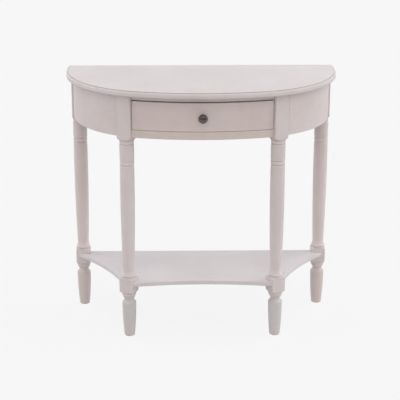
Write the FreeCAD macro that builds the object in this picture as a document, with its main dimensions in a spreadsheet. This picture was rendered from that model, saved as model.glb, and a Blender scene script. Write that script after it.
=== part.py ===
import FreeCAD, Part
import math
import os
import Sketcher
from types import SimpleNamespace

# A half-moon console table on four turned legs, with a bow-front drawer under the top and a hollowed shelf.
# The floor is Z 0, the front is towards -Y, and the origin is on the floor under the middle of the top.
# Lengths are in millimetres and angles in degrees. Pieces on the left are drawn, and the right ones mirrored.

SIZES = {
    # Top
    "table_height": 760.0,
    "top_width": 800.0,
    "top_depth": 350.0,
    "top_thickness": 17.0,
    "front_radius": 777.0,
    "straight_end": 49.0,
    "edge_step_inset": 6.0,
    "edge_step_depth": 2.5,
    "edge_round": 5.0,
    "edge_under_ease": 2.5,
    # Places of the legs, aprons and rails under the top
    "top_overhang": 20.0,
    "side_overhang": 12.5,
    "back_overhang": 5.0,
    "block_side": 43.0,
    "front_leg_angle": 11.86,
    "apron_height": 122.0,
    "apron_thickness": 18.0,
    "back_apron_inset": 4.0,
    "front_recess": 9.0,
    "front_height": 125.0,
    "rail_depth": 55.0,
    "upper_rail_height": 14.5,
    "lower_rail_height": 23.0,
    # Turning of a leg, from the floor up
    "foot_tip_radius": 15.6,
    "foot_radius": 21.1,
    "foot_height": 103.5,
    "neck_radius": 14.8,
    "neck_height": 116.5,
    "ankle_radius": 21.1,
    "ankle_height": 132.0,
    "lower_block_bottom": 139.0,
    "lower_block_length": 48.0,
    "lower_pommel_height": 4.0,
    "groove_width": 5.0,
    "groove_depth": 2.0,
    "cup_radius": 21.0,
    "flare_height": 15.0,
    "shaft_low_radius": 16.8,
    "shaft_high_radius": 20.7,
    "shaft_curve_radius": 7150.0,
    "ring_radius": 20.8,
    "ring_height": 8.0,
    "head_radius": 21.0,
    "head_length": 45.0,
    "collar_radius": 20.8,
    "collar_height": 9.0,
    "upper_pommel_height": 10.5,
    "upper_block_length": 137.0,
    # Lower shelf
    "shelf_height": 174.0,
    "shelf_thickness": 12.5,
    "shelf_back_lap": 33.0,
    "shelf_side_lap": 4.0,
    "shelf_front_lap": 16.0,
    "shelf_side_bow": 14.5,
    "shelf_front_bow": 18.8,
    "shelf_edge_ease": 1.5,
    # Drawer
    "drawer_front_thickness": 18.0,
    "drawer_end_gap": 1.5,
    "drawer_low_gap": 1.5,
    "drawer_high_gap": 3.5,
    "drawer_side_thickness": 12.0,
    "drawer_side_height": 76.0,
    "drawer_back_thickness": 12.0,
    "drawer_back_drop": 6.0,
    "drawer_back_room": 8.0,
    "drawer_bottom_thickness": 4.0,
    "drawer_bottom_rise": 8.0,
    "drawer_groove_depth": 5.0,
    # Runners and stops of the drawer
    "running_gap": 0.3,
    "guide_gap": 1.0,
    "guide_thickness": 10.0,
    "guide_height": 16.0,
    "guide_leg_gap": 1.0,
    "runner_reach": 14.0,
    "runner_thickness": 12.0,
    "stop_place": 60.0,
    "stop_width": 20.0,
    "stop_depth": 16.0,
    "stop_height": 6.0,
    # Battens that hold the top
    "cleat_side": 18.0,
    "cleat_length": 520.0,
    "top_block_angle": 60.0,
    "top_block_spread": 12.0,
    "top_block_depth": 22.0,
    # Knob and its screw
    "knob_radius": 12.8,
    "knob_length": 25.0,
    "knob_stem_radius": 6.0,
    "knob_under_height": 9.0,
    "knob_rim_height": 21.5,
    "knob_face_radius": 9.3,
    "knob_screw_radius": 2.0,
    "knob_screw_grip": 10.0,
    "knob_screw_head_radius": 4.0,
    "knob_screw_head_height": 2.6,
    # Dowels and wood screws
    "dowel_radius": 4.0,
    "dowel_length": 30.0,
    "dowel_inset": 25.0,
    "slim_dowel_radius": 3.0,
    "slim_dowel_length": 24.0,
    "rail_dowel_spacing": 14.0,
    "shelf_dowel_offset": 13.0,
    "drawer_dowel_length": 20.0,
    "drawer_dowel_inset": 18.0,
    "screw_radius": 2.0,
    "screw_length": 26.0,
    "screw_head_radius": 4.0,
    "screw_head_height": 3.0,
    "screw_spacing": 100.0,
    "cleat_screw_spacing": 200.0,
    # Fits, and how far a cut runs past what it cuts
    "dowel_clearance": 0.1,
    "groove_clearance": 0.2,
    "seat_clearance": 0.1,
    "overrun": 2.0,
}

doc = FreeCAD.newDocument("demilune_table")
sheet = doc.addObject("Spreadsheet::Sheet", "sizes")
worked = doc.addObject("Spreadsheet::Sheet", "worked")
pieces = []


class Size:
    """A size with its number and the formula by which the document works it out."""

    def __init__(self, value, formula):
        self.value = float(value)
        self.formula = formula

    def __add__(self, other):
        other = as_size(other)
        return Size(self.value + other.value, f"({self.formula} + {other.formula})")

    def __sub__(self, other):
        other = as_size(other)
        return Size(self.value - other.value, f"({self.formula} - {other.formula})")

    def __rsub__(self, other):
        return as_size(other) - self

    def __mul__(self, other):
        other = as_size(other)
        return Size(self.value * other.value, f"({self.formula} * {other.formula})")

    def __truediv__(self, other):
        other = as_size(other)
        return Size(self.value / other.value, f"({self.formula} / {other.formula})")

    def __neg__(self):
        return Size(-self.value, f"(0 - {self.formula})")


def as_size(number):
    return number if isinstance(number, Size) else Size(number, str(number))


def root(size):
    return Size(math.sqrt(size.value), f"sqrt({size.formula})")


def square(size):
    return size * size


def sine(angle):
    return Size(math.sin(math.radians(angle.value)), f"sin({angle.formula})")


def cosine(angle):
    return Size(math.cos(math.radians(angle.value)), f"cos({angle.formula})")


def arcsine(share):
    return Size(math.degrees(math.asin(share.value)), f"(asin({share.formula}) / 1 deg)")


def leg_of(long_side, other_side):
    """Third side of a right triangle, from its longest side and another."""
    return root(square(long_side) - square(other_side))


def fill_sheet():
    for row, (alias, value) in enumerate(SIZES.items(), start=1):
        sheet.set(f"A{row}", alias)
        sheet.set(f"B{row}", str(value))
        sheet.setAlias(f"B{row}", alias)
    doc.recompute()
    return SimpleNamespace(**{alias: Size(value, f"sizes.{alias}") for alias, value in SIZES.items()})


worked_names = []


def work_out(alias, result):
    """Keeps a worked-out size in the second sheet, so that later formulas can name it."""
    worked_names.append(alias)
    row = len(worked_names)
    worked.set(f"A{row}", alias)
    worked.set(f"B{row}", "=" + result.formula)
    worked.setAlias(f"B{row}", alias)
    return Size(result.value, f"worked.{alias}")


def bind(item, path, size):
    item.setExpression(path, size.formula)


def place(item, x=None, y=None, z=None, turn=None):
    """Binds an item's place, and its turn about Z, to sizes."""
    base = [0.0 if part is None else part.value for part in (x, y, z)]
    rotation = item.Placement.Rotation
    if turn is not None:
        rotation = FreeCAD.Rotation(FreeCAD.Vector(0, 0, 1), turn.value)
    item.Placement = FreeCAD.Placement(FreeCAD.Vector(*base), rotation)
    for axis, part in zip("xyz", (x, y, z)):
        if part is not None:
            bind(item, f"Placement.Base.{axis}", part)
    if turn is not None:
        bind(item, "Placement.Rotation.Angle", turn)


def finish(item, label):
    item.Label = label
    pieces.append(item)
    return item


# Sketches and bodies


def origin_plane(body, role):
    return next(feature for feature in body.Origin.OriginFeatures if feature.Role == role)


def arc_between(start, end, radius, turn):
    """Arc under a half circle: turn is 1 with its centre on the left of the way, or -1 on the right."""
    chord = end - start
    middle = (start + end) * 0.5
    side = FreeCAD.Vector(-chord.y, chord.x, 0).normalize() * turn
    centre = middle + side * math.sqrt(radius**2 - (chord.Length / 2) ** 2)
    first, last = (start, end) if turn > 0 else (end, start)
    angles = [math.atan2(point.y - centre.y, point.x - centre.x) for point in (first, last)]
    circle = Part.Circle(centre, FreeCAD.Vector(0, 0, 1), radius)
    return Part.ArcOfCircle(circle, angles[0], angles[1])


def draw(body, name, role, corners):
    """Closed outline on one of a body's own planes.

    A corner is (x, y), or (x, y, radius, turn) where an arc leads from it to the next corner.
    """
    sketch = body.newObject("Sketcher::SketchObject", name)
    sketch.AttachmentSupport = [(origin_plane(body, role), "")]
    sketch.MapMode = "FlatFace"
    points = [FreeCAD.Vector(corner[0].value, corner[1].value, 0) for corner in corners]
    ends = []
    for index, corner in enumerate(corners):
        start, end = points[index], points[(index + 1) % len(points)]
        if len(corner) == 2:
            sketch.addGeometry(Part.LineSegment(start, end))
            ends.append((1, 2))
            continue
        radius, turn = corner[2:]
        sketch.addGeometry(arc_between(start, end, radius.value, turn))
        ends.append((1, 2) if turn > 0 else (2, 1))
    for index, corner in enumerate(corners):
        before = index - 1 if index else len(corners) - 1
        joint = (before, ends[before][1], index, ends[index][0])
        sketch.addConstraint(Sketcher.Constraint("Coincident", *joint))
        for kind, size in (("DistanceX", corner[0]), ("DistanceY", corner[1])):
            number = sketch.addConstraint(Sketcher.Constraint(kind, -1, 1, index, ends[index][0], size.value))
            bind(sketch, f"Constraints[{number}]", size)
        if len(corner) > 2:
            number = sketch.addConstraint(Sketcher.Constraint("Radius", index, corner[2].value))
            bind(sketch, f"Constraints[{number}]", corner[2])
    return sketch


def pad(body, name, sketch, length):
    feature = body.newObject("PartDesign::Pad", name)
    feature.Profile = sketch
    feature.Length = length.value
    bind(feature, "Length", length)
    return feature


def board(name, corners, bottom, height):
    """Flat board of the given outline, lying on the height named bottom."""
    body = doc.addObject("PartDesign::Body", name)
    pad(body, name + "_pad", draw(body, name + "_outline", "XY_Plane", corners), height)
    place(body, z=bottom)
    return body


def turn_away(body, name, corners):
    """Cuts an outline of radius and height away from a body all round its Z axis."""
    sketch = draw(body, name + "_outline", "XZ_Plane", corners)
    feature = body.newObject("PartDesign::Groove", name)
    feature.Profile = sketch
    feature.ReferenceAxis = (sketch, ["V_Axis"])
    feature.Angle = 360
    return feature


def edge_names(shape, test):
    return [f"Edge{number}" for number, edge in enumerate(shape.Edges, start=1) if test(edge)]


def round_edges(body, name, base, radius, test):
    """Rounds the edges of a body's last shape that pass a test."""
    doc.recompute()
    feature = body.newObject("PartDesign::Fillet", name)
    feature.Base = (base, edge_names(base.Shape, test))
    feature.Radius = radius.value
    bind(feature, "Radius", radius)
    return feature


def ease_edges(body, name, base, width, test):
    """Planes off the edges of a body's last shape that pass a test."""
    doc.recompute()
    feature = body.newObject("PartDesign::Chamfer", name)
    feature.Base = (base, edge_names(base.Shape, test))
    feature.Size = width.value
    bind(feature, "Size", width)
    return feature


# Solids, groups and cuts


def block(name, low, span):
    item = doc.addObject("Part::Box", name)
    for path, size in zip(("Length", "Width", "Height"), span):
        bind(item, path, size)
    place(item, *low)
    return item


TURN_TO = {"X": ((0, 1, 0), 90), "Y": ((1, 0, 0), -90), "Z": ((0, 0, 1), 0)}
PEG_SIDES = 6


def peg(name, radius, length, middle, axis):
    """Peg along an axis, with its middle at a point. It has few sides, because pegs repeat many times."""
    item = doc.addObject("Part::Prism", name)
    item.Polygon = PEG_SIDES
    bind(item, "Circumradius", radius)
    bind(item, "Height", length)
    direction, degrees = TURN_TO[axis]
    item.Placement.Rotation = FreeCAD.Rotation(FreeCAD.Vector(*direction), degrees)
    start = list(middle)
    along = "XYZ".index(axis)
    start[along] = middle[along] - length / 2
    place(item, *start)
    return item


def group(name, members):
    item = doc.addObject("Part::Compound", name)
    item.Links = members
    return item


def mirror(name, source):
    item = doc.addObject("Part::Mirroring", name)
    item.Source = source
    item.Normal = FreeCAD.Vector(1, 0, 0)
    return item


def both_sides(name, left):
    """A left-hand group and its mirror image, as one group."""
    return group(name, [left, mirror(name + "_right", left)])


def cut(name, base, tools):
    item = doc.addObject("Part::Cut", name)
    item.Base = base
    item.Tool = tools[0] if len(tools) == 1 else group(name + "_tools", tools)
    return item


class Dowels:
    """A row of like dowels in one joint, with the bores that hold them."""

    def __init__(self, name, radius, length, middles, axis, frame=None):
        fit = size.dowel_clearance
        self.pegs = self._row(name, radius, length, middles, axis, frame)
        self.bores = self._row(name + "_bores", radius + fit, length + fit * 2, middles, axis, frame)

    def _row(self, name, radius, length, middles, axis, frame):
        row = group(name, [peg(f"{name}_{n}", radius, length, at, axis) for n, at in enumerate(middles)])
        if frame is not None:
            place(row, *frame)
        return row


def wood_screw(name, x, y, bottom, grow):
    """Screw that points up, with its sunk head flush with the height named bottom."""
    head_top = bottom + size.screw_head_height
    head_middle = (x, y, bottom + size.screw_head_height / 2)
    shank_length = size.screw_length - size.screw_head_height + grow
    shank_middle = (x, y, head_top + shank_length / 2)
    screw = doc.addObject("Part::Fuse", name)
    screw.Base = peg(name + "_head", size.screw_head_radius + grow, size.screw_head_height, head_middle, "Z")
    screw.Tool = peg(name + "_shank", size.screw_radius + grow, shank_length, shank_middle, "Z")
    return screw


size = fill_sheet()
zero = Size(0, "0")

# Plan of the top: a front arc, an end arc at each side that runs on from it, and straight ends to the back
half_width = work_out("half_width", size.top_width / 2)
half_depth = work_out("half_depth", size.top_depth / 2)
curve_depth = size.top_depth - size.straight_end
end_radius = work_out(
    "end_radius",
    (square(size.front_radius) - square(half_width) - square(size.front_radius - curve_depth))
    / ((size.front_radius - half_width) * 2),
)
end_x = work_out("end_x", half_width - end_radius)
end_y = work_out("end_y", half_depth - size.straight_end)
front_y = work_out("front_y", size.front_radius - half_depth)
join_sine = work_out("join_sine", end_x / (size.front_radius - end_radius))
join_cosine = work_out("join_cosine", (front_y - end_y) / (size.front_radius - end_radius))

# Heights under the top
underside = work_out("underside", size.table_height - size.top_thickness)
apron_bottom = work_out("apron_bottom", underside - size.apron_height)
rail_bottom = work_out("rail_bottom", underside - size.front_height)
rail_top = work_out("rail_top", rail_bottom + size.lower_rail_height)
upper_rail_bottom = work_out("upper_rail_bottom", underside - size.upper_rail_height)

# Legs: the back blocks stand square to the back edge, and the front blocks square to the end arcs,
# at an angle past the point where an end arc meets the front arc
half_block = work_out("half_block", size.block_side / 2)
block_reach = work_out("block_reach", half_block * root(as_size(2)))
leg_turn = work_out("leg_turn", arcsine(join_sine) + size.front_leg_angle)
leg_sine = work_out("leg_sine", sine(leg_turn))
leg_cosine = work_out("leg_cosine", cosine(leg_turn))
face_radius = work_out("face_radius", end_radius - size.top_overhang)
leg_radius = work_out("leg_radius", face_radius - half_block)
front_leg_x = work_out("front_leg_x", end_x + leg_radius * leg_sine)
front_leg_y = work_out("front_leg_y", end_y - leg_radius * leg_cosine)
back_leg_x = work_out("back_leg_x", half_width - size.side_overhang - half_block)
back_leg_y = work_out("back_leg_y", half_depth - size.back_overhang - half_block)
back_block_front = work_out("back_block_front", back_leg_y - half_block)
back_block_inside = work_out("back_block_inside", back_leg_x - half_block)
front_leg_frame = (-front_leg_x, front_leg_y, None, -leg_turn)
back_leg_frame = (-back_leg_x, back_leg_y, None, None)


def by_front_leg(forward, right):
    """Point in plan, from sizes forward of and to the right of the front left leg's axis."""
    x = right * leg_cosine - forward * leg_sine - front_leg_x
    y = front_leg_y - forward * leg_cosine - right * leg_sine
    return x, y


def forward_at(radius, right):
    """How far forward of the leg's axis a line beside it meets a circle about the end arc's centre."""
    return leg_of(radius, right) - leg_radius


def across(points):
    """The same points on the other side of the table, in the other order."""
    return [(-x, y) for x, y in reversed(points)]


def join_point(offset):
    """Where the front arc and the left end arc meet, on the plan drawn in by an offset."""
    reach = size.front_radius - offset
    return -(reach * join_sine), front_y - reach * join_cosine


def bow(offset, end):
    """The bowed front of the plan, from a left end to its mirror image, drawn in by an offset."""
    join = join_point(offset)
    end_arc = (end_radius - offset, 1)
    front_arc = (size.front_radius - offset, 1)
    return [(*end, *end_arc), (*join, *front_arc), (-join[0], join[1], *end_arc), (-end[0], end[1])]


# Top


def top_outline(inset):
    side = half_width - inset
    arcs = bow(inset, (-side, end_y))
    return [(-side, half_depth), *arcs, (side, half_depth)]


def make_top():
    body = doc.addObject("PartDesign::Body", "top_body")
    slab_height = size.top_thickness - size.edge_step_depth
    slab = pad(body, "slab", draw(body, "slab_outline", "XY_Plane", top_outline(zero)), slab_height)
    field_outline = draw(body, "field_outline", "XY_Plane", top_outline(size.edge_step_inset))
    field_outline.AttachmentOffset.Base.z = slab_height.value
    bind(field_outline, "AttachmentOffset.Base.z", slab_height)
    field = pad(body, "field", field_outline, size.edge_step_depth)
    place(body, z=underside)

    def on_rim(edge):
        if isinstance(edge.Curve, Part.Circle):
            return any(math.isclose(edge.Curve.Radius, arc.value) for arc in (size.front_radius, end_radius))
        return all(math.isclose(abs(vertex.X), half_width.value) for vertex in edge.Vertexes)

    def rim_at(height):
        def test(edge):
            return all(math.isclose(v.Z, height, abs_tol=1e-6) for v in edge.Vertexes) and on_rim(edge)

        return test

    ovolo = round_edges(body, "ovolo", field, size.edge_round, rim_at(slab_height.value))
    ease_edges(body, "under_edge", ovolo, size.edge_under_ease, rim_at(zero.value))
    return body


top_body = make_top()

# Turned legs: a square blank with its foot, shaft and rings turned away between the square blocks


def foot_cut():
    outside = size.block_side
    swell = size.foot_radius - size.foot_tip_radius
    swell_radius = (square(size.foot_height) + square(swell)) / (swell * 2)
    corner = (block_reach + size.overrun, size.lower_block_bottom + size.lower_pommel_height)
    return [
        (outside, -size.overrun),
        (size.foot_tip_radius, -size.overrun),
        (size.foot_tip_radius, zero, swell_radius, 1),
        (size.foot_radius, size.foot_height),
        (size.neck_radius, size.neck_height),
        (size.ankle_radius, size.ankle_height),
        (size.ankle_radius, size.lower_block_bottom),
        corner,
        (outside, corner[1]),
    ]


def shaft_cut():
    outside = size.block_side
    half_groove = size.groove_width / 2
    bottom = size.lower_block_bottom + size.lower_block_length
    low_corner = (block_reach + size.overrun, bottom - size.lower_pommel_height)
    cup_bottom = bottom + size.groove_width
    top = underside - size.upper_block_length
    collar_bottom = top - size.collar_height
    head_top = collar_bottom - size.groove_width
    head_bottom = head_top - size.head_length
    ring_top = head_bottom - size.groove_width
    ring_bottom = ring_top - size.ring_height
    shaft_top = ring_bottom - size.groove_width
    high_corner = (block_reach + size.overrun, top + size.upper_pommel_height)
    return [
        (outside, low_corner[1]),
        low_corner,
        (size.cup_radius, bottom),
        (size.cup_radius - size.groove_depth, bottom + half_groove),
        (size.cup_radius, cup_bottom),
        (size.shaft_low_radius, cup_bottom + size.flare_height, size.shaft_curve_radius, 1),
        (size.shaft_high_radius, shaft_top),
        (size.shaft_high_radius - size.groove_depth, shaft_top + half_groove),
        (size.ring_radius, ring_bottom),
        (size.ring_radius, ring_top),
        (size.head_radius - size.groove_depth, ring_top + half_groove),
        (size.head_radius, head_bottom),
        (size.head_radius, head_top),
        (size.head_radius - size.groove_depth, head_top + half_groove),
        (size.collar_radius, collar_bottom),
        (size.collar_radius, top),
        high_corner,
        (outside, high_corner[1]),
    ]


def turned_leg(name, frame):
    body = doc.addObject("PartDesign::Body", name)
    sides = [
        (-half_block, -half_block),
        (half_block, -half_block),
        (half_block, half_block),
        (-half_block, half_block),
    ]
    pad(body, name + "_blank", draw(body, name + "_square", "XY_Plane", sides), underside)
    turn_away(body, name + "_foot", foot_cut())
    turn_away(body, name + "_shaft", shaft_cut())
    place(body, *frame)
    return body


# Joints of the legs with the aprons, rails and shelf, in each left leg's own frame
apron_middle = work_out("apron_middle", face_radius - size.apron_thickness / 2)
apron_dowel_heights = (apron_bottom + size.dowel_inset, underside - size.dowel_inset)
front_apron_y = -forward_at(apron_middle, half_block + size.dowel_length / 4)
front_apron_dowels = Dowels(
    "front_apron_dowels",
    size.dowel_radius,
    size.dowel_length,
    [(-half_block, front_apron_y, height) for height in apron_dowel_heights],
    "X",
    front_leg_frame,
)
back_apron_x = back_leg_x - end_x - apron_middle
side_apron_dowels = Dowels(
    "side_apron_dowels",
    size.dowel_radius,
    size.dowel_length,
    [(back_apron_x, -half_block, height) for height in apron_dowel_heights],
    "Y",
    back_leg_frame,
)
back_apron_y = half_block - size.back_apron_inset - size.apron_thickness / 2
back_apron_dowels = Dowels(
    "back_apron_dowels",
    size.dowel_radius,
    size.dowel_length,
    [(half_block, back_apron_y, height) for height in apron_dowel_heights],
    "X",
    back_leg_frame,
)
front_offset = work_out("front_offset", size.top_overhang + size.front_recess)
rail_face = forward_at(end_radius - front_offset, half_block)
rail_dowel_y = -(rail_face - size.rail_dowel_spacing)
upper_rail_middle = upper_rail_bottom + size.upper_rail_height / 2
lower_rail_middle = rail_bottom + size.lower_rail_height / 2
rail_dowels = Dowels(
    "front_rail_dowels",
    size.slim_dowel_radius,
    size.slim_dowel_length,
    [(half_block, rail_dowel_y, height) for height in (upper_rail_middle, lower_rail_middle)],
    "X",
    front_leg_frame,
)
shelf_bottom = work_out("shelf_bottom", size.shelf_height - size.shelf_thickness)
shelf_middle = shelf_bottom + size.shelf_thickness / 2
front_shelf_dowel = Dowels(
    "front_shelf_dowel",
    size.slim_dowel_radius,
    size.slim_dowel_length,
    [(zero, half_block, shelf_middle)],
    "Y",
    front_leg_frame,
)
back_shelf_dowel = Dowels(
    "back_shelf_dowel",
    size.slim_dowel_radius,
    size.slim_dowel_length,
    [(size.shelf_dowel_offset, -half_block, shelf_middle)],
    "Y",
    back_leg_frame,
)

front_bores = [front_apron_dowels.bores, rail_dowels.bores, front_shelf_dowel.bores]
back_bores = [side_apron_dowels.bores, back_apron_dowels.bores, back_shelf_dowel.bores]
front_turning = turned_leg("front_leg_turning", front_leg_frame)
front_leg = finish(cut("front_leg", front_turning, front_bores), "front_left_leg")
back_turning = turned_leg("back_leg_turning", back_leg_frame)
back_leg = finish(cut("back_leg", back_turning, back_bores), "back_left_leg")
finish(mirror("front_leg_mirrored", front_leg), "front_right_leg")
finish(mirror("back_leg_mirrored", back_leg), "back_right_leg")

# Curved side aprons, from the front leg's outer face to the front face of the back leg
apron_inside = work_out("apron_inside", face_radius - size.apron_thickness)


def apron_end(radius):
    """Where a circle about the left end arc's centre meets the front face of the back leg."""
    return -(end_x + leg_of(radius, back_block_front - end_y)), back_block_front


side_apron = board(
    "side_apron",
    [
        (*by_front_leg(forward_at(face_radius, half_block), -half_block), face_radius, -1),
        apron_end(face_radius),
        (*apron_end(apron_inside), apron_inside, 1),
        by_front_leg(forward_at(apron_inside, half_block), -half_block),
    ],
    apron_bottom,
    size.apron_height,
)
left_apron = cut("left_apron", side_apron, [front_apron_dowels.bores, side_apron_dowels.bores])
finish(left_apron, "left_apron")
finish(mirror("right_apron", left_apron), "right_apron")

# Runners: the drawer sides ride on the lower leg of each L, and its upright guides them
box_half = work_out(
    "box_half",
    -by_front_leg(-half_block, half_block)[0] - size.guide_leg_gap - size.guide_thickness - size.guide_gap,
)
rail_back = work_out("rail_back", size.rail_depth + front_offset - half_depth)
back_apron_front = work_out(
    "back_apron_front", half_depth - size.back_overhang - size.back_apron_inset - size.apron_thickness
)
guide_outside = box_half + size.guide_gap + size.guide_thickness
runner_bottom = rail_top - size.runner_thickness
runner_x = -(guide_outside + box_half - size.runner_reach) / 2
runner_dowels = Dowels(
    "side_runner_dowels",
    size.slim_dowel_radius,
    size.slim_dowel_length,
    [(runner_x, y, rail_top - size.runner_thickness / 2) for y in (rail_back, back_apron_front)],
    "Y",
)


def make_runner():
    body = doc.addObject("PartDesign::Body", "runner_body")
    inside = -(box_half - size.runner_reach)
    guide_inside = -(box_half + size.guide_gap)
    corners = [
        (-guide_outside, runner_bottom),
        (inside, runner_bottom),
        (inside, rail_top),
        (guide_inside, rail_top),
        (guide_inside, rail_top + size.guide_height),
        (-guide_outside, rail_top + size.guide_height),
    ]
    pad(body, "runner_pad", draw(body, "runner_section", "XZ_Plane", corners), back_apron_front - rail_back)
    place(body, y=back_apron_front)
    return cut("runner", body, [runner_dowels.bores])


left_runner = finish(make_runner(), "left_runner")
finish(mirror("right_runner", left_runner), "right_runner")
all_runner_bores = both_sides("all_runner_bores", runner_dowels.bores)

# Screws that hold the top down, through the upper rail, the back cleat and the side blocks
cleat_bottom = underside - size.cleat_side
rail_screw_y = rail_back - size.rail_depth / 2
cleat_screw_y = back_apron_front - size.cleat_side / 2
block_radius = apron_inside - size.top_block_depth / 2
block_screw_x = end_x + block_radius * sine(size.top_block_angle)
block_screw_y = end_y - block_radius * cosine(size.top_block_angle)


def top_screw_places():
    places = [(size.screw_spacing * n, rail_screw_y, upper_rail_bottom) for n in (-1, 0, 1)]
    places += [(size.cleat_screw_spacing * n, cleat_screw_y, cleat_bottom) for n in (-1, 0, 1)]
    places += [(block_screw_x * n, block_screw_y, cleat_bottom) for n in (-1, 1)]
    return places


def top_screw_group(name, grow):
    return group(name, [wood_screw(f"{name}_{n}", *spot, grow) for n, spot in enumerate(top_screw_places())])


top_screws = finish(top_screw_group("top_screws", zero), "top_screws")
screw_bores = top_screw_group("screw_bores", size.dowel_clearance)
finish(cut("top", top_body, [screw_bores]), "top")

# Bowed front rails with straight backs, between the front legs
all_rail_bores = both_sides("all_rail_bores", rail_dowels.bores)


def rail_outline():
    end = by_front_leg(rail_face, half_block)
    back_forward = (front_leg_y - half_block * leg_sine - rail_back) / leg_cosine
    back = by_front_leg(back_forward, half_block)
    return [*bow(front_offset, end), (-back[0], back[1]), back]


upper_rail = board("upper_rail", rail_outline(), upper_rail_bottom, size.upper_rail_height)
finish(cut("upper_rail_drilled", upper_rail, [all_rail_bores, screw_bores]), "upper_front_rail")
lower_rail = board("lower_rail", rail_outline(), rail_bottom, size.lower_rail_height)
finish(cut("lower_rail_drilled", lower_rail, [all_rail_bores, all_runner_bores]), "lower_front_rail")

# Straight back apron, its cleat, and the side blocks
all_back_bores = both_sides("all_back_bores", back_apron_dowels.bores)
back_board = block(
    "back_board",
    (-back_block_inside, back_apron_front, apron_bottom),
    (back_block_inside * 2, size.apron_thickness, size.apron_height),
)
finish(cut("back_board_drilled", back_board, [all_back_bores, all_runner_bores]), "back_apron")
cleat = block(
    "cleat",
    (-(size.cleat_length / 2), back_apron_front - size.cleat_side, cleat_bottom),
    (size.cleat_length, size.cleat_side, size.cleat_side),
)
finish(cut("cleat_drilled", cleat, [screw_bores]), "back_cleat")


def by_end_centre(radius, angle):
    """Point in plan, from a radius and an angle about the left end arc's centre."""
    return -(end_x + radius * sine(angle)), end_y - radius * cosine(angle)


def top_block_outline():
    near = size.top_block_angle - size.top_block_spread / 2
    far = size.top_block_angle + size.top_block_spread / 2
    flat = apron_inside - size.top_block_depth
    return [
        (*by_end_centre(apron_inside, near), apron_inside, -1),
        by_end_centre(apron_inside, far),
        by_end_centre(flat, far),
        by_end_centre(flat, near),
    ]


side_block = board("side_block", top_block_outline(), cleat_bottom, size.cleat_side)
left_top_block = finish(cut("side_block_drilled", side_block, [screw_bores]), "left_top_block")
finish(mirror("right_top_block", left_top_block), "right_top_block")

# Lower shelf, notched round the leg blocks, with hollow side and front edges


def hollow(start, end, depth):
    """Arc that bows in by a depth between two points, to the right of the way."""
    half_chord_square = (square(end[0] - start[0]) + square(end[1] - start[1])) / 4
    return (half_chord_square + square(depth)) / (depth * 2), -1


def shelf_outline():
    back = (-back_block_inside, back_leg_y)
    inner_corner = (-back_block_inside, back_block_front)
    side_start = (-(back_block_inside + size.shelf_back_lap), back_block_front)
    side_end = by_front_leg(size.shelf_side_lap, -half_block)
    notch = [by_front_leg(-half_block, -half_block), by_front_leg(-half_block, half_block)]
    front = by_front_leg(size.shelf_front_lap, half_block)
    side_arc = hollow(side_start, side_end, size.shelf_side_bow)
    front_arc = hollow(front, (-front[0], front[1]), size.shelf_front_bow)
    right = across([back, inner_corner, side_start, side_end, *notch, front])
    right_side_end = right.index(next(point for point in right if point[1] is side_end[1]))
    right[right_side_end] = (*right[right_side_end], *side_arc)
    return [back, inner_corner, (*side_start, *side_arc), side_end, *notch, (*front, *front_arc), *right]


def make_shelf():
    body = board("shelf_board", shelf_outline(), shelf_bottom, size.shelf_thickness)

    def on_hollow_edge(edge):
        level = math.isclose(edge.Vertexes[0].Z, edge.Vertexes[-1].Z, abs_tol=1e-6)
        return level and isinstance(edge.Curve, Part.Circle)

    ease_edges(body, "shelf_eased_edges", body.Tip, size.shelf_edge_ease, on_hollow_edge)
    bores = [
        both_sides("all_front_shelf_bores", front_shelf_dowel.bores),
        both_sides("all_back_shelf_bores", back_shelf_dowel.bores),
    ]
    return cut("shelf", body, bores)


finish(make_shelf(), "shelf")

# Dowels of the frame
leg_dowels = [front_apron_dowels.pegs, side_apron_dowels.pegs, back_apron_dowels.pegs]
finish(both_sides("apron_dowels", group("left_apron_dowels", leg_dowels)), "apron_dowels")
finish(both_sides("rail_dowels", rail_dowels.pegs), "rail_dowels")
shelf_pegs = group("left_shelf_dowels", [front_shelf_dowel.pegs, back_shelf_dowel.pegs])
finish(both_sides("shelf_dowels", shelf_pegs), "shelf_dowels")
finish(both_sides("runner_dowels", runner_dowels.pegs), "runner_dowels")

# Drawer: a bowed front, two sides, a back, and a bottom that slides in grooves and passes under the back
drawer_inside = work_out("drawer_inside", front_offset + size.drawer_front_thickness)
side_inside = work_out("side_inside", box_half - size.drawer_side_thickness)
box_back = work_out("box_back", back_apron_front - size.drawer_back_room)
front_bottom = work_out("front_bottom", rail_top + size.drawer_low_gap)
front_tall = work_out("front_tall", upper_rail_bottom - size.drawer_high_gap - front_bottom)
side_bottom = work_out("side_bottom", rail_top + size.running_gap)
panel_bottom = work_out("panel_bottom", side_bottom + size.drawer_bottom_rise)
panel_top = work_out("panel_top", panel_bottom + size.drawer_bottom_thickness)
knob_height = work_out("knob_height", front_bottom + front_tall / 2)


def inside_face(x):
    """Y of the seat behind the drawer front's inner face near its ends, at a distance from the middle."""
    return end_y - leg_of(end_radius - drawer_inside, x - end_x) + size.seat_clearance


def front_outline():
    end_right = half_block + size.drawer_end_gap

    def end_at(offset):
        return by_front_leg(forward_at(end_radius - offset, end_right), end_right)

    outer = bow(front_offset, end_at(front_offset))
    left, near, far, right = bow(drawer_inside, end_at(drawer_inside))
    end_arc = (left[2], -1)
    front_arc = (near[2], -1)
    inner = [(*right, *end_arc), (*far[:2], *front_arc), (*near[:2], *end_arc), left[:2]]
    return [*outer, *inner]


def panel_outline(grow):
    """Bottom panel, reaching into the grooves of the sides and the front."""
    half = side_inside + size.drawer_groove_depth + grow
    radius = size.front_radius - drawer_inside + size.drawer_groove_depth + grow
    front = front_y - leg_of(radius, half)
    return [(-half, box_back), (-half, front, radius, 1), (half, front), (half, box_back)]


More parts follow.
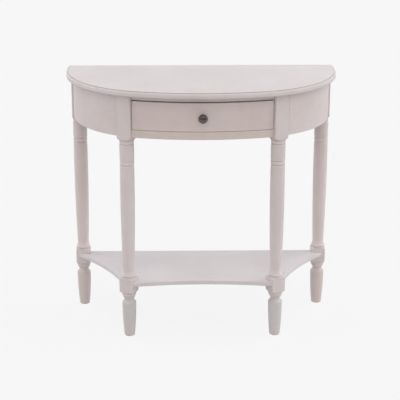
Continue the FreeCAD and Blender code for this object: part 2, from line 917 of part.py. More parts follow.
panel = board("panel", panel_outline(zero), panel_bottom, size.drawer_bottom_thickness)
finish(panel, "drawer_bottom")
panel_slot = board(
    "panel_slot",
    panel_outline(size.groove_clearance),
    panel_bottom - size.groove_clearance,
    size.drawer_bottom_thickness + size.groove_clearance * 2,
)

side_middle = -(box_half - size.drawer_side_thickness / 2)
drawer_dowel_heights = (
    panel_top + size.drawer_dowel_inset,
    side_bottom + size.drawer_side_height - size.drawer_dowel_inset,
)
front_joint_y = inside_face(box_half - size.drawer_side_thickness / 2)
front_joint_dowels = Dowels(
    "front_joint_dowels",
    size.slim_dowel_radius,
    size.drawer_dowel_length,
    [(side_middle, front_joint_y, height) for height in drawer_dowel_heights],
    "Y",
)
back_joint_dowels = Dowels(
    "back_joint_dowels",
    size.slim_dowel_radius,
    size.drawer_dowel_length,
    [(-side_inside, box_back - size.drawer_back_thickness / 2, height) for height in drawer_dowel_heights],
    "X",
)
joint_pegs = group("left_drawer_dowels", [front_joint_dowels.pegs, back_joint_dowels.pegs])
finish(both_sides("drawer_dowels", joint_pegs), "drawer_dowels")

knob_screw_back = work_out(
    "knob_screw_back",
    front_y - leg_of(size.front_radius - drawer_inside, size.knob_screw_head_radius) + size.seat_clearance,
)
knob_seat = front_offset - half_depth
screw_shank_length = work_out("screw_shank_length", size.drawer_front_thickness + size.knob_screw_grip)


def knob_screw_shank(name, grow):
    middle = (zero, knob_screw_back - screw_shank_length / 2, knob_height)
    return peg(name, size.knob_screw_radius + grow, screw_shank_length + grow * 2, middle, "Y")


screw_bore = knob_screw_shank("knob_screw_bore", size.dowel_clearance)
front_board = board("front_board", front_outline(), front_bottom, front_tall)
all_front_joint_bores = both_sides("all_front_joint_bores", front_joint_dowels.bores)
finish(cut("front_board_cut", front_board, [panel_slot, all_front_joint_bores, screw_bore]), "drawer_front")

side_board = board(
    "side_board",
    [
        (-box_half, inside_face(box_half)),
        (-side_inside, inside_face(side_inside)),
        (-side_inside, box_back),
        (-box_half, box_back),
    ],
    side_bottom,
    size.drawer_side_height,
)
side_cuts = [panel_slot, front_joint_dowels.bores, back_joint_dowels.bores]
left_side = finish(cut("side_board_cut", side_board, side_cuts), "drawer_left_side")
finish(mirror("drawer_right_side", left_side), "drawer_right_side")

rear_board = block(
    "rear_board",
    (-side_inside, box_back - size.drawer_back_thickness, panel_top),
    (
        side_inside * 2,
        size.drawer_back_thickness,
        side_bottom + size.drawer_side_height - size.drawer_back_drop - panel_top,
    ),
)
all_back_joint_bores = both_sides("all_back_joint_bores", back_joint_dowels.bores)
finish(cut("rear_board_drilled", rear_board, [all_back_joint_bores]), "drawer_back")

# Stops on the lower rail, which the drawer front meets when it is shut
stop_corner = size.stop_place + size.stop_width / 2
stop_face = front_y - leg_of(size.front_radius - drawer_inside, stop_corner) + size.running_gap
left_stop = block(
    "left_stop",
    (-stop_corner, stop_face, rail_top),
    (size.stop_width, size.stop_depth, size.stop_height),
)
finish(both_sides("stops", left_stop), "drawer_stops")

# Knob, turned about its own Z axis and laid to point forward, and the screw that holds it


def knob_outline():
    return [
        (zero, zero),
        (size.knob_stem_radius, zero),
        (size.knob_stem_radius, size.knob_under_height),
        (size.knob_radius, size.knob_under_height),
        (size.knob_radius, size.knob_rim_height),
        (size.knob_face_radius, size.knob_length),
        (zero, size.knob_length),
    ]


def make_knob():
    body = doc.addObject("PartDesign::Body", "knob_body")
    sketch = draw(body, "knob_profile", "XZ_Plane", knob_outline())
    feature = body.newObject("PartDesign::Revolution", "knob_turning")
    feature.Profile = sketch
    feature.ReferenceAxis = (sketch, ["V_Axis"])
    feature.Angle = 360
    body.Placement.Rotation = FreeCAD.Rotation(FreeCAD.Vector(1, 0, 0), 90)
    place(body, zero, knob_seat, knob_height)
    return cut("knob", body, [screw_bore])


def make_knob_screw():
    head_middle = (zero, knob_screw_back + size.knob_screw_head_height / 2, knob_height)
    screw = doc.addObject("Part::Fuse", "machine_screw")
    screw.Base = peg("screw_head", size.knob_screw_head_radius, size.knob_screw_head_height, head_middle, "Y")
    screw.Tool = knob_screw_shank("screw_shank", zero)
    return screw


finish(make_knob(), "drawer_knob")
finish(make_knob_screw(), "knob_screw")


def check_document():
    """Stops if an object failed, or if a piece has no sound solid."""
    doc.recompute()
    for item in doc.Objects:
        if "Invalid" in item.State or "Error" in item.State:
            raise RuntimeError(f"{item.Name} failed: {item.State}")
    for piece in pieces:
        if piece.Shape.isNull() or not piece.Shape.isValid() or not piece.Shape.Solids:
            raise RuntimeError(f"{piece.Label} has no sound solid")


def write_pieces():
    os.makedirs("parts", exist_ok=True)
    for piece in pieces:
        piece.Shape.exportStep(os.path.join("parts", piece.Label + ".step"))
        print(piece.Label, len(piece.Shape.Solids), round(piece.Shape.Volume))


check_document()
write_pieces()
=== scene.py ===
import logging
import math
from dataclasses import dataclass
from enum import Enum
from typing import Any, Callable, Iterable, Sequence

import bmesh
import bpy
import numpy as np
from mathutils import Matrix, Vector


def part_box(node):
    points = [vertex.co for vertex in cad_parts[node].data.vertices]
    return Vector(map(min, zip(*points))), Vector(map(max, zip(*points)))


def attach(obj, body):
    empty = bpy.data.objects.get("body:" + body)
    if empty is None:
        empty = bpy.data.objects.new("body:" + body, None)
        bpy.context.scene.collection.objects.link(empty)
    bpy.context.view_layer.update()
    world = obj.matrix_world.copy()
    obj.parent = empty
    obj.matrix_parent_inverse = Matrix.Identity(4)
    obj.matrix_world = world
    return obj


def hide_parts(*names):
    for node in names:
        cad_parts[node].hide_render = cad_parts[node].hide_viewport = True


# A half-moon console table: satin paint on its top, aprons, rails, drawer front, shelf and turned legs,
# bare pine where the paint stops, and a dark metal knob. Lengths are in metres, in the frame's own place.

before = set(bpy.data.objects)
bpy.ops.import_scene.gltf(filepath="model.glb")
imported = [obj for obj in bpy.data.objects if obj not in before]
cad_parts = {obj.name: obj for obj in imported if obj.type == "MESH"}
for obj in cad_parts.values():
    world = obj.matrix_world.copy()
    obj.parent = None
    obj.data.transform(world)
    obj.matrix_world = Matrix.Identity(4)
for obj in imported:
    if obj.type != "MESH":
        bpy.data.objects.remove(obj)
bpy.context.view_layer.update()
LOG = logging.getLogger("demilune_table")
MM = 0.001
MERGE_DISTANCE = 1e-6
SMOOTH_ANGLE = math.radians(32)
FLAT_ANGLE = math.radians(1)
HEAD_STEP = 0.5 * MM
TIP_LENGTH = 1 * MM

Point = tuple[float, float]
Triple = tuple[float, float, float]
Colour = tuple[float, float, float, float]


def linear(red: int, green: int, blue: int) -> Colour:
    """Turns a colour as a screen shows it into the light values that shaders take, by the sRGB curve.

    Args:
        red: level from 0 to 255.
        green: level from 0 to 255.
        blue: level from 0 to 255.

    Returns:
        The colour's light values, with full alpha.
    """
    shares = [level / 255 for level in (red, green, blue)]
    light = [share / 12.92 if share <= 0.04045 else ((share + 0.055) / 1.055) ** 2.4 for share in shares]
    return (*light, 1.0)


def spread(first: float, last: float, steps: int) -> list[float]:
    """Evenly spaced values, with both ends."""
    return [first + (last - first) * step / steps for step in range(steps + 1)]


def across(points: Iterable[Point]) -> list[Point]:
    """The same points on the other side of the table, in the other order."""
    return [(-x, y) for x, y in reversed(list(points))]


def swept(start: Point, end: Point, sagitta: float, steps: int) -> list[Point]:
    """Points on the arc from one point to another.

    Args:
        start: where the arc starts.
        end: where it ends.
        sagitta: how far its middle stands to the right of the straight way.
        steps: how many pieces it is cut into.

    Returns:
        The arc's points, with both ends.
    """
    way = Vector(end) - Vector(start)
    aside = Vector((way.y, -way.x)).normalized()
    half = way.length / 2
    if abs(sagitta) < MERGE_DISTANCE:
        return [start, end]
    radius = (half**2 + sagitta**2) / (2 * sagitta)
    centre = Vector(start) + way / 2 + aside * (sagitta - radius)
    opening = math.asin(min(1.0, half / abs(radius)))
    points = []
    for turn in spread(-opening, opening, steps):
        ahead = way.normalized() * abs(radius) * math.sin(turn)
        points.append(tuple(centre + ahead + aside * radius * math.cos(turn)))
    return points


# Node trees


def operator(operation: str, swapped: bool = False) -> Callable[["Wire", "Wire | float"], "Wire"]:
    """Makes one of Wire's operators.

    Args:
        operation: the Math node's operation.
        swapped: whether the other value comes first.

    Returns:
        The method for the operator.
    """

    def method(self: "Wire", other: "Wire | float") -> "Wire":
        """The Math node of this operator."""
        first, second = (other, self) if swapped else (self, other)
        return self.tree.maths(operation, first, second)

    return method


class Wire:
    """An output of a node, which stands in Python sums as its value."""

    __add__ = operator("ADD")
    __radd__ = operator("ADD", swapped=True)
    __sub__ = operator("SUBTRACT")
    __rsub__ = operator("SUBTRACT", swapped=True)
    __mul__ = operator("MULTIPLY")
    __rmul__ = operator("MULTIPLY", swapped=True)
    __truediv__ = operator("DIVIDE")
    __rtruediv__ = operator("DIVIDE", swapped=True)
    __pow__ = operator("POWER")
    at_most = operator("MINIMUM")
    at_least = operator("MAXIMUM")

    def __init__(self, tree: "Tree", socket: bpy.types.NodeSocket) -> None:
        """Keeps the tree and the socket."""
        self.tree = tree
        self.socket = socket

    def __abs__(self) -> "Wire":
        """The value without its sign."""
        return self.tree.maths("ABSOLUTE", self)

    def sign(self) -> "Wire":
        """One with the value's sign."""
        return self.tree.maths("SIGN", self)

    def clamped(self) -> "Wire":
        """The value, kept between zero and one."""
        return self.at_least(0.0).at_most(1.0)


class Outputs:
    """The outputs of one node, looked up by name."""

    def __init__(self, tree: "Tree", node: bpy.types.Node) -> None:
        """Keeps the tree and the node."""
        self.tree = tree
        self.node = node

    def __getitem__(self, name: str) -> Wire:
        """The output with that name."""
        return Wire(self.tree, Tree.find(self.node.outputs, name))


class Tree:
    """A node tree of a finish or a shape, with one method that adds any node."""

    def __init__(self, nodes: bpy.types.NodeTree) -> None:
        """Starts with no nodes."""
        self.nodes = nodes
        nodes.nodes.clear()

    @staticmethod
    def find(sockets: Sequence[bpy.types.NodeSocket], key: str) -> bpy.types.NodeSocket:
        """Finds a socket by its identifier, or else by its name among those in use.

        Args:
            sockets: a node's inputs or outputs.
            key: the identifier or name.

        Returns:
            The socket.
        """
        exact = [socket for socket in sockets if socket.identifier == key and socket.enabled]
        named = [socket for socket in sockets if socket.name == key and socket.enabled]
        return (exact + named)[0]

    def node(
        self, kind: str, settings: dict[str, Any] | None = None, sockets: dict[str, Any] | None = None
    ) -> Outputs:
        """Adds a node.

        Args:
            kind: the node's type.
            settings: its settings, which are set first. A ramp's stops are pairs of place and colour.
            sockets: a value or a Wire for each of its inputs that is used.

        Returns:
            The node's outputs.
        """
        node = self.nodes.nodes.new(kind)
        for name, value in (settings or {}).items():
            if name == "stops":
                self._set_stops(node.color_ramp, value)
            else:
                setattr(node, name, value)
        for name, value in (sockets or {}).items():
            socket = self.find(node.inputs, name)
            if isinstance(value, Wire):
                self.nodes.links.new(value.socket, socket)
            else:
                socket.default_value = value
        return Outputs(self, node)

    @staticmethod
    def _set_stops(ramp: bpy.types.ColorRamp, stops: Sequence[tuple[float, Colour]]) -> None:
        """Sets a ramp's stops, which are at least two.

        Args:
            ramp: the ramp of a new node.
            stops: the place and colour of each stop, in order.
        """
        while len(ramp.elements) < len(stops):
            ramp.elements.new(1.0)
        for element, (place, colour) in zip(ramp.elements, stops):
            element.position = place
            element.color = colour

    def maths(self, operation: str, *values: Wire | float) -> Wire:
        """A Math node on one value or two."""
        sockets = dict(zip(("Value", "Value_001"), values))
        return self.node("ShaderNodeMath", {"operation": operation}, sockets)["Value"]

    def carried(self, name: str, kind: str) -> Wire:
        """A value that the points of a shape carry."""
        return self.node("GeometryNodeInputNamedAttribute", {"data_type": kind}, {"Name": name})["Attribute"]


@dataclass(frozen=True)
class Layer:
    """A layer of noise in a finish: its waves to the metre, and its share of tone, relief and mattness."""

    scale: float
    detail: float = 2.0
    stir: float = 0.0
    tone: float = 0.0
    relief: float = 0.0
    matt: float = 0.0


class Finisher(Tree):
    """The node tree of one material, with the steps that its finishes share."""

    def __init__(self, name: str) -> None:
        """Makes an empty material of that name."""
        self.material = bpy.data.materials.new(name)
        self.material.use_nodes = True
        super().__init__(self.material.node_tree)
        self.place = self.node("ShaderNodeTexCoord")["Object"]

    def stretched(self, scale: Triple, middle: Triple = (0.0, 0.0, 0.0)) -> Wire:
        """The place on the piece, drawn out along the grain.

        Args:
            scale: the share of the cross-grain scale along X, Y and Z.
            middle: the place that is drawn out from.

        Returns:
            The drawn-out place.
        """
        shift = [-part * share for part, share in zip(middle, scale)]
        sockets = {"Vector": self.place, "Location": shift, "Scale": scale}
        return self.node("ShaderNodeMapping", {}, sockets)["Vector"]

    def noise(self, place: Wire, layer: Layer) -> Wire:
        """The noise of a layer at a place, about -0.5 to 0.5."""
        sockets = {"Vector": place, "Scale": layer.scale, "Detail": layer.detail, "Distortion": layer.stir}
        return self.node("ShaderNodeTexNoise", {"noise_dimensions": "3D"}, sockets)["Fac"] - 0.5

    def height(self, place: Wire) -> Wire:
        """How high a place is."""
        return self.node("ShaderNodeSeparateXYZ", {}, {"Vector": place})["Z"]

    def mixed(self, share: Wire | float, first: Wire | Colour, second: Wire | Colour) -> Wire:
        """A colour between two others."""
        settings = {"data_type": "RGBA", "clamp_factor": True}
        sockets = {"Factor_Float": share, "A_Color": first, "B_Color": second}
        return self.node("ShaderNodeMix", settings, sockets)["Result_Color"]

    def attribute(self, name: str) -> Wire:
        """A value that the piece's own mesh carries."""
        return self.node("ShaderNodeAttribute", {"attribute_name": name})["Fac"]

    def bump(self, height: Wire, strength: float, distance: float) -> Wire:
        """The surface's direction with fine relief on it."""
        sockets = {"Height": height, "Strength": strength, "Distance": distance}
        return self.node("ShaderNodeBump", {}, sockets)["Normal"]

    def surface(self, sockets: dict[str, Any]) -> bpy.types.Material:
        """Ends the tree in one Principled surface.

        Args:
            sockets: the surface's values and links.

        Returns:
            The finished material.
        """
        shader = self.node("ShaderNodeBsdfPrincipled", {}, sockets)["BSDF"]
        self.node("ShaderNodeOutputMaterial", {}, {"Surface": shader})
        return self.material


# Finishes


class Slot(Enum):
    """The record's material slots."""

    PAINTED = "painted_wood"
    BARE = "bare_wood"
    STEEL = "screw_steel"
    DARK = "dark_metal"


class Grain(Enum):
    """Which way the fibres and the brush run: the share of the cross-grain scale along X, Y and Z."""

    WIDTH = (0.07, 1.0, 1.0)
    DEPTH = (1.0, 0.07, 1.0)
    UPRIGHT = (1.0, 1.0, 0.07)
    ROUND = (0.09, 0.09, 1.0)


@dataclass(frozen=True)
class SatinPaint:
    """Pale satin paint, brushed along the grain, darker in the grooves: partly settled paint, partly painted
    shade.
    """

    grain: Grain
    light: Colour = linear(225, 218, 219)
    deep: Colour = linear(213, 202, 199)
    # The darker colour of settled paint and painted shade in grooves and quirks.
    groove: Colour = linear(140, 126, 121)
    groove_shade_share: float = 0.33
    foot: Colour = linear(214, 205, 204)
    foot_top: float = 130 * MM
    foot_fade: float = 12 * MM
    foot_wander: float = 3.0
    foot_share: float = 0.8
    sole_share: float = 0.5
    rise_share: float = 0.6
    cloud: Layer = Layer(7.0, tone=0.9)
    patch: Layer = Layer(45.0, 3.0, tone=0.5, relief=0.6, matt=0.12)
    brush: Layer = Layer(330.0, 3.0, stir=0.4, tone=0.6, relief=0.7, matt=0.10)
    pores: Layer = Layer(1400.0, tone=0.3, relief=0.5)
    roughness: float = 0.55
    specular: float = 0.3
    relief: float = 0.2 * MM
    relief_strength: float = 0.5
    slot: Slot = Slot.PAINTED

    def material(self) -> bpy.types.Material:
        """Makes the material: cloudy tone, brush marks, the wood's pores under the paint, settled paint with
        painted shade in the grooves, and darker, greyer paint towards the floor.

        Returns:
            The material.
        """
        tree = Finisher(f"satin_paint_{self.grain.name.lower()}")
        along = tree.stretched(self.grain.value)
        cloud = tree.noise(tree.place, self.cloud)
        patch = tree.noise(tree.place, self.patch)
        brush = tree.noise(along, self.brush)
        pores = tree.noise(along, self.pores)
        tone = 0.5 + cloud * self.cloud.tone + patch * self.patch.tone
        tone = tone + brush * self.brush.tone + pores * self.pores.tone
        height = tree.height(tree.place)
        # Towards the floor, below foot_top, the paint turns darker and greyer.
        low = ((self.foot_top - height) / self.foot_fade + cloud * self.foot_wander).clamped()
        floorward_share = low * (height / self.foot_top * self.rise_share + self.sole_share + patch * self.patch.tone)
        paint = tree.mixed(floorward_share * self.foot_share, tree.mixed(tone, self.deep, self.light), self.foot)
        # Painted shade: grooves and quirks are darkened by the mesh's groove values, together with settled
        # paint.
        settled_paint_and_shade = tree.attribute("groove") * self.groove_shade_share
        relief = brush * self.brush.relief + pores * self.pores.relief + patch * self.patch.relief
        return tree.surface(
            {
                "Base Color": tree.mixed(settled_paint_and_shade, paint, self.groove),
                "Roughness": self.roughness + patch * self.patch.matt + brush * self.brush.matt,
                "Normal": tree.bump(relief, self.relief_strength, self.relief),
                "Specular IOR Level": self.specular,
            }
        )


@dataclass(frozen=True)
class BarePine:
    """Sanded pine with its growth rings and fibres, where the paint stops."""

    grain: Grain
    name: str = "bare_pine"
    heart: Triple = (0.0, 0.0, 0.0)
    early: Colour = linear(222, 190, 146)
    late: Colour = linear(190, 147, 98)
    middle: Colour = linear(205, 168, 122)
    late_share: float = 0.72
    faded: float = 0.25
    drift: Layer = Layer(9.0, tone=0.5)
    fibre: Layer = Layer(700.0, 3.0, tone=0.3, matt=0.15)
    rings: Layer = Layer(28.0, stir=5.0, relief=0.3, matt=0.05)
    ring_waves: float = 1.6
    roughness: float = 0.62
    relief: float = 0.2 * MM
    relief_strength: float = 0.5
    slot: Slot = Slot.BARE

    def material(self) -> bpy.types.Material:
        """Makes the material: growth rings drawn out along the grain, and fine fibres.

        Returns:
            The material.
        """
        tree = Finisher(f"{self.name}_{self.grain.name.lower()}")
        along = tree.stretched(self.grain.value, self.heart)
        drift = tree.noise(along, self.drift)
        fibre = tree.noise(along, self.fibre)
        streaks = fibre * self.fibre.tone
        settings = {"wave_type": "RINGS", "rings_direction": "SPHERICAL", "wave_profile": "SAW"}
        sockets = {
            "Vector": along,
            "Scale": self.rings.scale,
            "Distortion": self.rings.stir,
            "Detail": self.rings.detail,
            "Detail Scale": self.ring_waves,
        }
        ring = tree.node("ShaderNodeTexWave", settings, sockets)["Fac"]
        stops = [(0.0, self.early), (self.late_share, self.middle), (1.0, self.late)]
        wood = tree.node("ShaderNodeValToRGB", {"stops": stops}, {"Fac": ring + streaks})["Color"]
        return tree.surface(
            {
                "Base Color": tree.mixed(self.faded + drift * self.drift.tone + streaks, wood, self.early),
                "Roughness": self.roughness + fibre * self.fibre.matt + ring * self.rings.matt,
                "Normal": tree.bump(fibre + ring * self.rings.relief, self.relief_strength, self.relief),
            }
        )


@dataclass(frozen=True)
class DarkMetal:
    """Dark bronzed metal, worn lighter at its rim, and painted lighter below its middle as a reflection of
    the pale floor.
    """

    middle: Triple
    dark: Colour = linear(44, 34, 36)
    # The lighter colour of the worn rim and of the painted floor reflection.
    reflected_and_rubbed: Colour = linear(106, 89, 90)
    # Painted reflection: below the knob's middle the metal is painted lighter, fading in over this height, by
    # this share.
    reflection_fade: float = 3 * MM
    floor_reflection_share: float = 0.7
    rim_share: float = 0.4
    blotch: Layer = Layer(210.0, 4.0, tone=0.5, matt=0.14)
    speck: Layer = Layer(1500.0, matt=0.08)
    metallic: float = 0.9
    roughness: float = 0.2
    lacquer: float = 0.5
    lacquer_roughness: float = 0.03
    relief: float = 0.02 * MM
    relief_strength: float = 0.35
    slot: Slot = Slot.DARK

    def material(self) -> bpy.types.Material:
        """Makes the material: blotchy patina, a worn rim, and a painted reflection of the floor that lightens
        the lower half.

        Returns:
            The material.
        """
        tree = Finisher("dark_metal")
        blotch = tree.noise(tree.place, self.blotch)
        speck = tree.noise(tree.place, self.speck)
        height = tree.height(tree.stretched((1.0, 1.0, 1.0), self.middle))
        # Painted reflection of the floor: the knob's lower half is made lighter.
        painted_floor_reflection = (0.5 - height / self.reflection_fade + blotch).clamped() * self.floor_reflection_share
        # Rim wear and random blotches are the metal's own; the lightening below the middle is painted
        # reflection.
        reflection_and_wear = painted_floor_reflection + tree.attribute("groove") * self.rim_share + blotch * self.blotch.tone
        return tree.surface(
            {
                "Base Color": tree.mixed(reflection_and_wear, self.dark, self.reflected_and_rubbed),
                "Metallic": self.metallic,
                "Roughness": self.roughness + blotch * self.blotch.matt + speck * self.speck.matt,
                "Normal": tree.bump(speck + blotch, self.relief_strength, self.relief),
                "Coat Weight": self.lacquer,
                "Coat Roughness": self.lacquer_roughness,
            }
        )


@dataclass(frozen=True)
class ZincSteel:
    """Zinc-plated steel of the screws, a little clouded."""

    bright: Colour = linear(196, 194, 186)
    dull: Colour = linear(150, 149, 146)
    cloud: Layer = Layer(400.0, 3.0, tone=1.2, matt=0.2)
    scratch: Layer = Layer(4000.0, matt=0.15)
    roughness: float = 0.34
    relief: float = 0.03 * MM
    relief_strength: float = 0.3
    slot: Slot = Slot.STEEL

    def material(self) -> bpy.types.Material:
        """Makes the material: clouded plating with fine scratches.

        Returns:
            The material.
        """
        tree = Finisher("zinc_steel")
        cloud = tree.noise(tree.place, self.cloud)
        scratch = tree.noise(tree.stretched(Grain.WIDTH.value), self.scratch)
        return tree.surface(
            {
                "Base Color": tree.mixed(0.5 + cloud * self.cloud.tone, self.dull, self.bright),
                "Metallic": 1.0,
                "Roughness": self.roughness + cloud * self.cloud.matt + scratch * self.scratch.matt,
                "Normal": tree.bump(scratch, self.relief_strength, self.relief),
            }
        )


Finish = SatinPaint | BarePine | DarkMetal | ZincSteel


class Palette:
    """The materials in use, each made once."""

    def __init__(self) -> None:
        """Starts with none."""
        self.made: dict[Finish, bpy.types.Material] = {}

    def __getitem__(self, finish: Finish) -> bpy.types.Material:
        """The material of a finish."""
        if finish not in self.made:
            self.made[finish] = finish.material()
        return self.made[finish]


PALETTE = Palette()

# Pieces


class Body(Enum):
    """The bodies that pieces ride on."""

    FRAME = "frame"
    DRAWER = "drawer"


def plain_mesh(obj: bpy.types.Object) -> bpy.types.Mesh:
    """The mesh that an object's modifiers make, freed from the object.

    Args:
        obj: a scratch object, which is deleted.

    Returns:
        The finished mesh.
    """
    if obj.name not in bpy.context.scene.collection.objects:
        bpy.context.scene.collection.objects.link(obj)
    graph = bpy.context.evaluated_depsgraph_get()
    mesh = bpy.data.meshes.new_from_object(obj.evaluated_get(graph), depsgraph=graph)
    obj.modifiers.clear()
    scratch = obj.data
    bpy.data.objects.remove(obj)
    bpy.data.meshes.remove(scratch)
    return mesh


def closed_mesh(shape: bmesh.types.BMesh, name: str) -> bpy.types.Mesh:
    """Ends a mesh: faces turned outwards, smooth but for its sharp edges.

    Args:
        shape: the mesh as built, which is freed.
        name: the mesh's name.

    Returns:
        The mesh.
    """
    bmesh.ops.recalc_face_normals(shape, faces=shape.faces)
    mesh = bpy.data.meshes.new(name)
    shape.to_mesh(mesh)
    shape.free()
    mesh.shade_smooth()
    mesh.set_sharp_from_angle(angle=SMOOTH_ANGLE)
    return mesh


def close_rings(
    shape: bmesh.types.BMesh, rings: Sequence[Sequence[bmesh.types.BMVert]], close_first: bool = True
) -> None:
    """Joins rings of points into a closed shape.

    Args:
        shape: the mesh.
        rings: the rings, each with as many points.
        close_first: whether the first ring gets a face too.
    """
    for near, far in zip(rings, rings[1:]):
        for here in range(len(near)):
            shape.faces.new((near[here - 1], near[here], far[here], far[here - 1]))
    shape.faces.new(rings[-1])
    if close_first:
        shape.faces.new(rings[0])


def eased(mesh: bpy.types.Mesh, width: float, segments: int = 3) -> bpy.types.Mesh:
    """Rounds a mesh's sharp edges.

    Args:
        mesh: the mesh, which is used up.
        width: how far from the edge the round starts.
        segments: how many faces the round has.

    Returns:
        The mesh with its edges rounded.
    """
    obj = bpy.data.objects.new(mesh.name + "_stock", mesh)
    bevel = obj.modifiers.new("eased arrises", "BEVEL")
    bevel.width = width
    bevel.segments = segments
    bevel.limit_method = "ANGLE"
    bevel.angle_limit = SMOOTH_ANGLE
    bevel.harden_normals = True
    weld = obj.modifiers.new("closed corners", "WELD")
    weld.merge_threshold = MERGE_DISTANCE
    return plain_mesh(obj)


def add_piece(name: str, mesh: bpy.types.Mesh, finish: Finish, body: Body, *nodes: str) -> bpy.types.Object:
    """Puts a finished mesh in the scene.

    Args:
        name: the piece's name.
        mesh: its mesh, in place.
        finish: its finish.
        body: the body that it moves with.
        nodes: the frame's nodes that it stands for.

    Returns:
        The piece.
    """
    mesh.name = name
    mesh.materials.clear()
    mesh.materials.append(PALETTE[finish])
    piece = bpy.data.objects.new(name, mesh)
    bpy.context.scene.collection.objects.link(piece)
    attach(piece, body.value)
    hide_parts(*nodes)
    LOG.info("%s stands for %s, with %d faces", name, ", ".join(nodes), len(mesh.polygons))
    return piece


def prism(outline: Sequence[Point], bottom: float, top: float, name: str) -> bpy.types.Mesh:
    """A flat board of any outline.

    Args:
        outline: its corners in plan, in order.
        bottom: height of its lower face.
        top: height of its upper face.
        name: the mesh's name.

    Returns:
        The board's mesh.
    """
    shape = bmesh.new()
    low = [shape.verts.new((x, y, bottom)) for x, y in outline]
    high = [shape.verts.new((x, y, top)) for x, y in outline]
    close_rings(shape, (low, high))
    return closed_mesh(shape, name)


def bent_board(
    outer: Sequence[Point], inner: Sequence[Point], bottom: float, top: float, name: str
) -> bpy.types.Mesh:
    """A curved upright board between two lines in plan.

    Args:
        outer: points of its outer face, in order.
        inner: as many points of its inner face.
        bottom: height of its lower edge.
        top: height of its upper edge.
        name: the mesh's name.

    Returns:
        The board's mesh.
    """
    shape = bmesh.new()
    corners = ((outer, bottom), (outer, top), (inner, top), (inner, bottom))
    rows = [[shape.verts.new((x, y, height)) for x, y in line] for line, height in corners]
    close_rings(shape, list(zip(*rows)))
    return closed_mesh(shape, name)


def mirrored(mesh: bpy.types.Mesh, name: str) -> bpy.types.Mesh:
    """The same mesh on the other side of the table.

    Args:
        mesh: the mesh to copy.
        name: the copy's name.

    Returns:
        The copy, with its faces turned outwards again.
    """
    copy = mesh.copy()
    copy.name = name
    copy.transform(Matrix.Scale(-1, 4, (1, 0, 0)))
    copy.flip_normals()
    return copy


def node_copy(node: str) -> bmesh.types.BMesh:
    """A merged copy of one of the frame's nodes."""
    shape = bmesh.new()
    shape.from_mesh(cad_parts[node].data)
    bmesh.ops.remove_doubles(shape, verts=shape.verts, dist=MERGE_DISTANCE)
    return shape


def planed_copy(node: str, ease: float) -> bpy.types.Mesh:
    """A copy of a plain board of the frame, with its arrises eased.

    Args:
        node: the board's node.
        ease: how far its arrises are rounded.

    Returns:
        The copy's mesh.
    """
    shape = node_copy(node)
    bmesh.ops.dissolve_limit(shape, angle_limit=FLAT_ANGLE, verts=shape.verts, edges=shape.edges)
    return eased(closed_mesh(shape, node + "_planed"), ease, segments=2)


def add_planed(boards: dict[str, Finish], ease: float, body: Body) -> None:
    """Adds plain boards of the frame.

    Args:
        boards: the finish of each board, by its node.
        ease: how far their arrises are rounded.
        body: the body that they move with.
    """
    for node, finish in boards.items():
        add_piece("planed_" + node, planed_copy(node, ease), finish, body, node)


# Plan of the table


@dataclass(frozen=True)
class Plan:
    """Half-moon plan: a front arc that runs on into an end arc at each side, and straight ends to the back.

    Angles on the left end arc are measured at its centre, from straight ahead towards the side.
    """

    half_width: float
    half_depth: float
    front_radius: float = 777 * MM
    straight_end: float = 49 * MM
    end_steps: int = 28
    front_steps: int = 30

    @classmethod
    def from_frame(cls) -> "Plan":
        """Reads the plan's size off the top."""
        low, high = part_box("top")
        return cls(half_width=(high.x - low.x) / 2, half_depth=(high.y - low.y) / 2)

    @property
    def end_radius(self) -> float:
        """Radius of the end arcs, which run on from the front arc without a kink."""
        rise = self.front_radius - 2 * self.half_depth + self.straight_end
        squares = self.front_radius**2 - self.half_width**2 - rise**2
        return squares / (2 * (self.front_radius - self.half_width))

    @property
    def end_centre(self) -> Vector:
        """Centre of the left end arc."""
        return Vector((self.end_radius - self.half_width, self.half_depth - self.straight_end))

    @property
    def join_angle(self) -> float:
        """Where the end arc meets the front arc."""
        return math.asin(-self.end_centre.x / (self.front_radius - self.end_radius))

    def on_end(self, inset: float, angle: float) -> Point:
        """Point of the left end arc, on the plan drawn in by an inset."""
        return tuple(self.end_centre - Vector((math.sin(angle), math.cos(angle))) * (self.end_radius - inset))

    def bow(self, inset: float, angle: float) -> list[Point]:
        """The curved front, from an angle on the left end arc to its mirror image.

        Args:
            inset: how far the plan is drawn in.
            angle: where the line starts on the left end arc.

        Returns:
            The line's points, from left to right.
        """
        left = [self.on_end(inset, turn) for turn in spread(angle, self.join_angle, self.end_steps)]
        radius = self.front_radius - inset
        front_y = self.front_radius - self.half_depth
        turns = spread(-self.join_angle, self.join_angle, self.front_steps)
        front = [(radius * math.sin(turn), front_y - radius * math.cos(turn)) for turn in turns]
        return left[:-1] + front + across(left)[1:]

    def outline(self, inset: float) -> list[Point]:
        """The whole curved edge of the top, from its back left corner to its back right one."""
        side = self.half_width - inset
        return [(-side, self.half_depth), *self.bow(inset, math.pi / 2), (side, self.half_depth)]


@dataclass(frozen=True)
class LegPlace:
    """Where a left leg stands: its axis, its turn from square, and half the side of its block."""

    axis: Vector
    turn: float
    half: float

    @classmethod
    def from_frame(cls, node: str, plan: Plan | None = None) -> "LegPlace":
        """Reads a leg's place off the frame.

        Args:
            node: the leg's node.
            plan: the plan, for a leg that stands square to the end arc.

        Returns:
            The leg's place.
        """
        low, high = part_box(node)
        axis = ((low + high) / 2).to_2d()
        reach = (high.x - low.x) / 2
        if plan is None:
            return cls(axis, 0.0, reach)
        aside = plan.end_centre - axis
        turn = math.atan2(aside.x, aside.y)
        return cls(axis, turn, reach / (math.cos(turn) + math.sin(turn)))

    def beside(self, forward: float, right: float) -> Point:
        """Point in plan, so far forward of the leg's axis and to its right."""
        ahead = Vector((-math.sin(self.turn), -math.cos(self.turn)))
        aside = Vector((math.cos(self.turn), -math.sin(self.turn)))
        return tuple(self.axis + ahead * forward + aside * right)


# Top


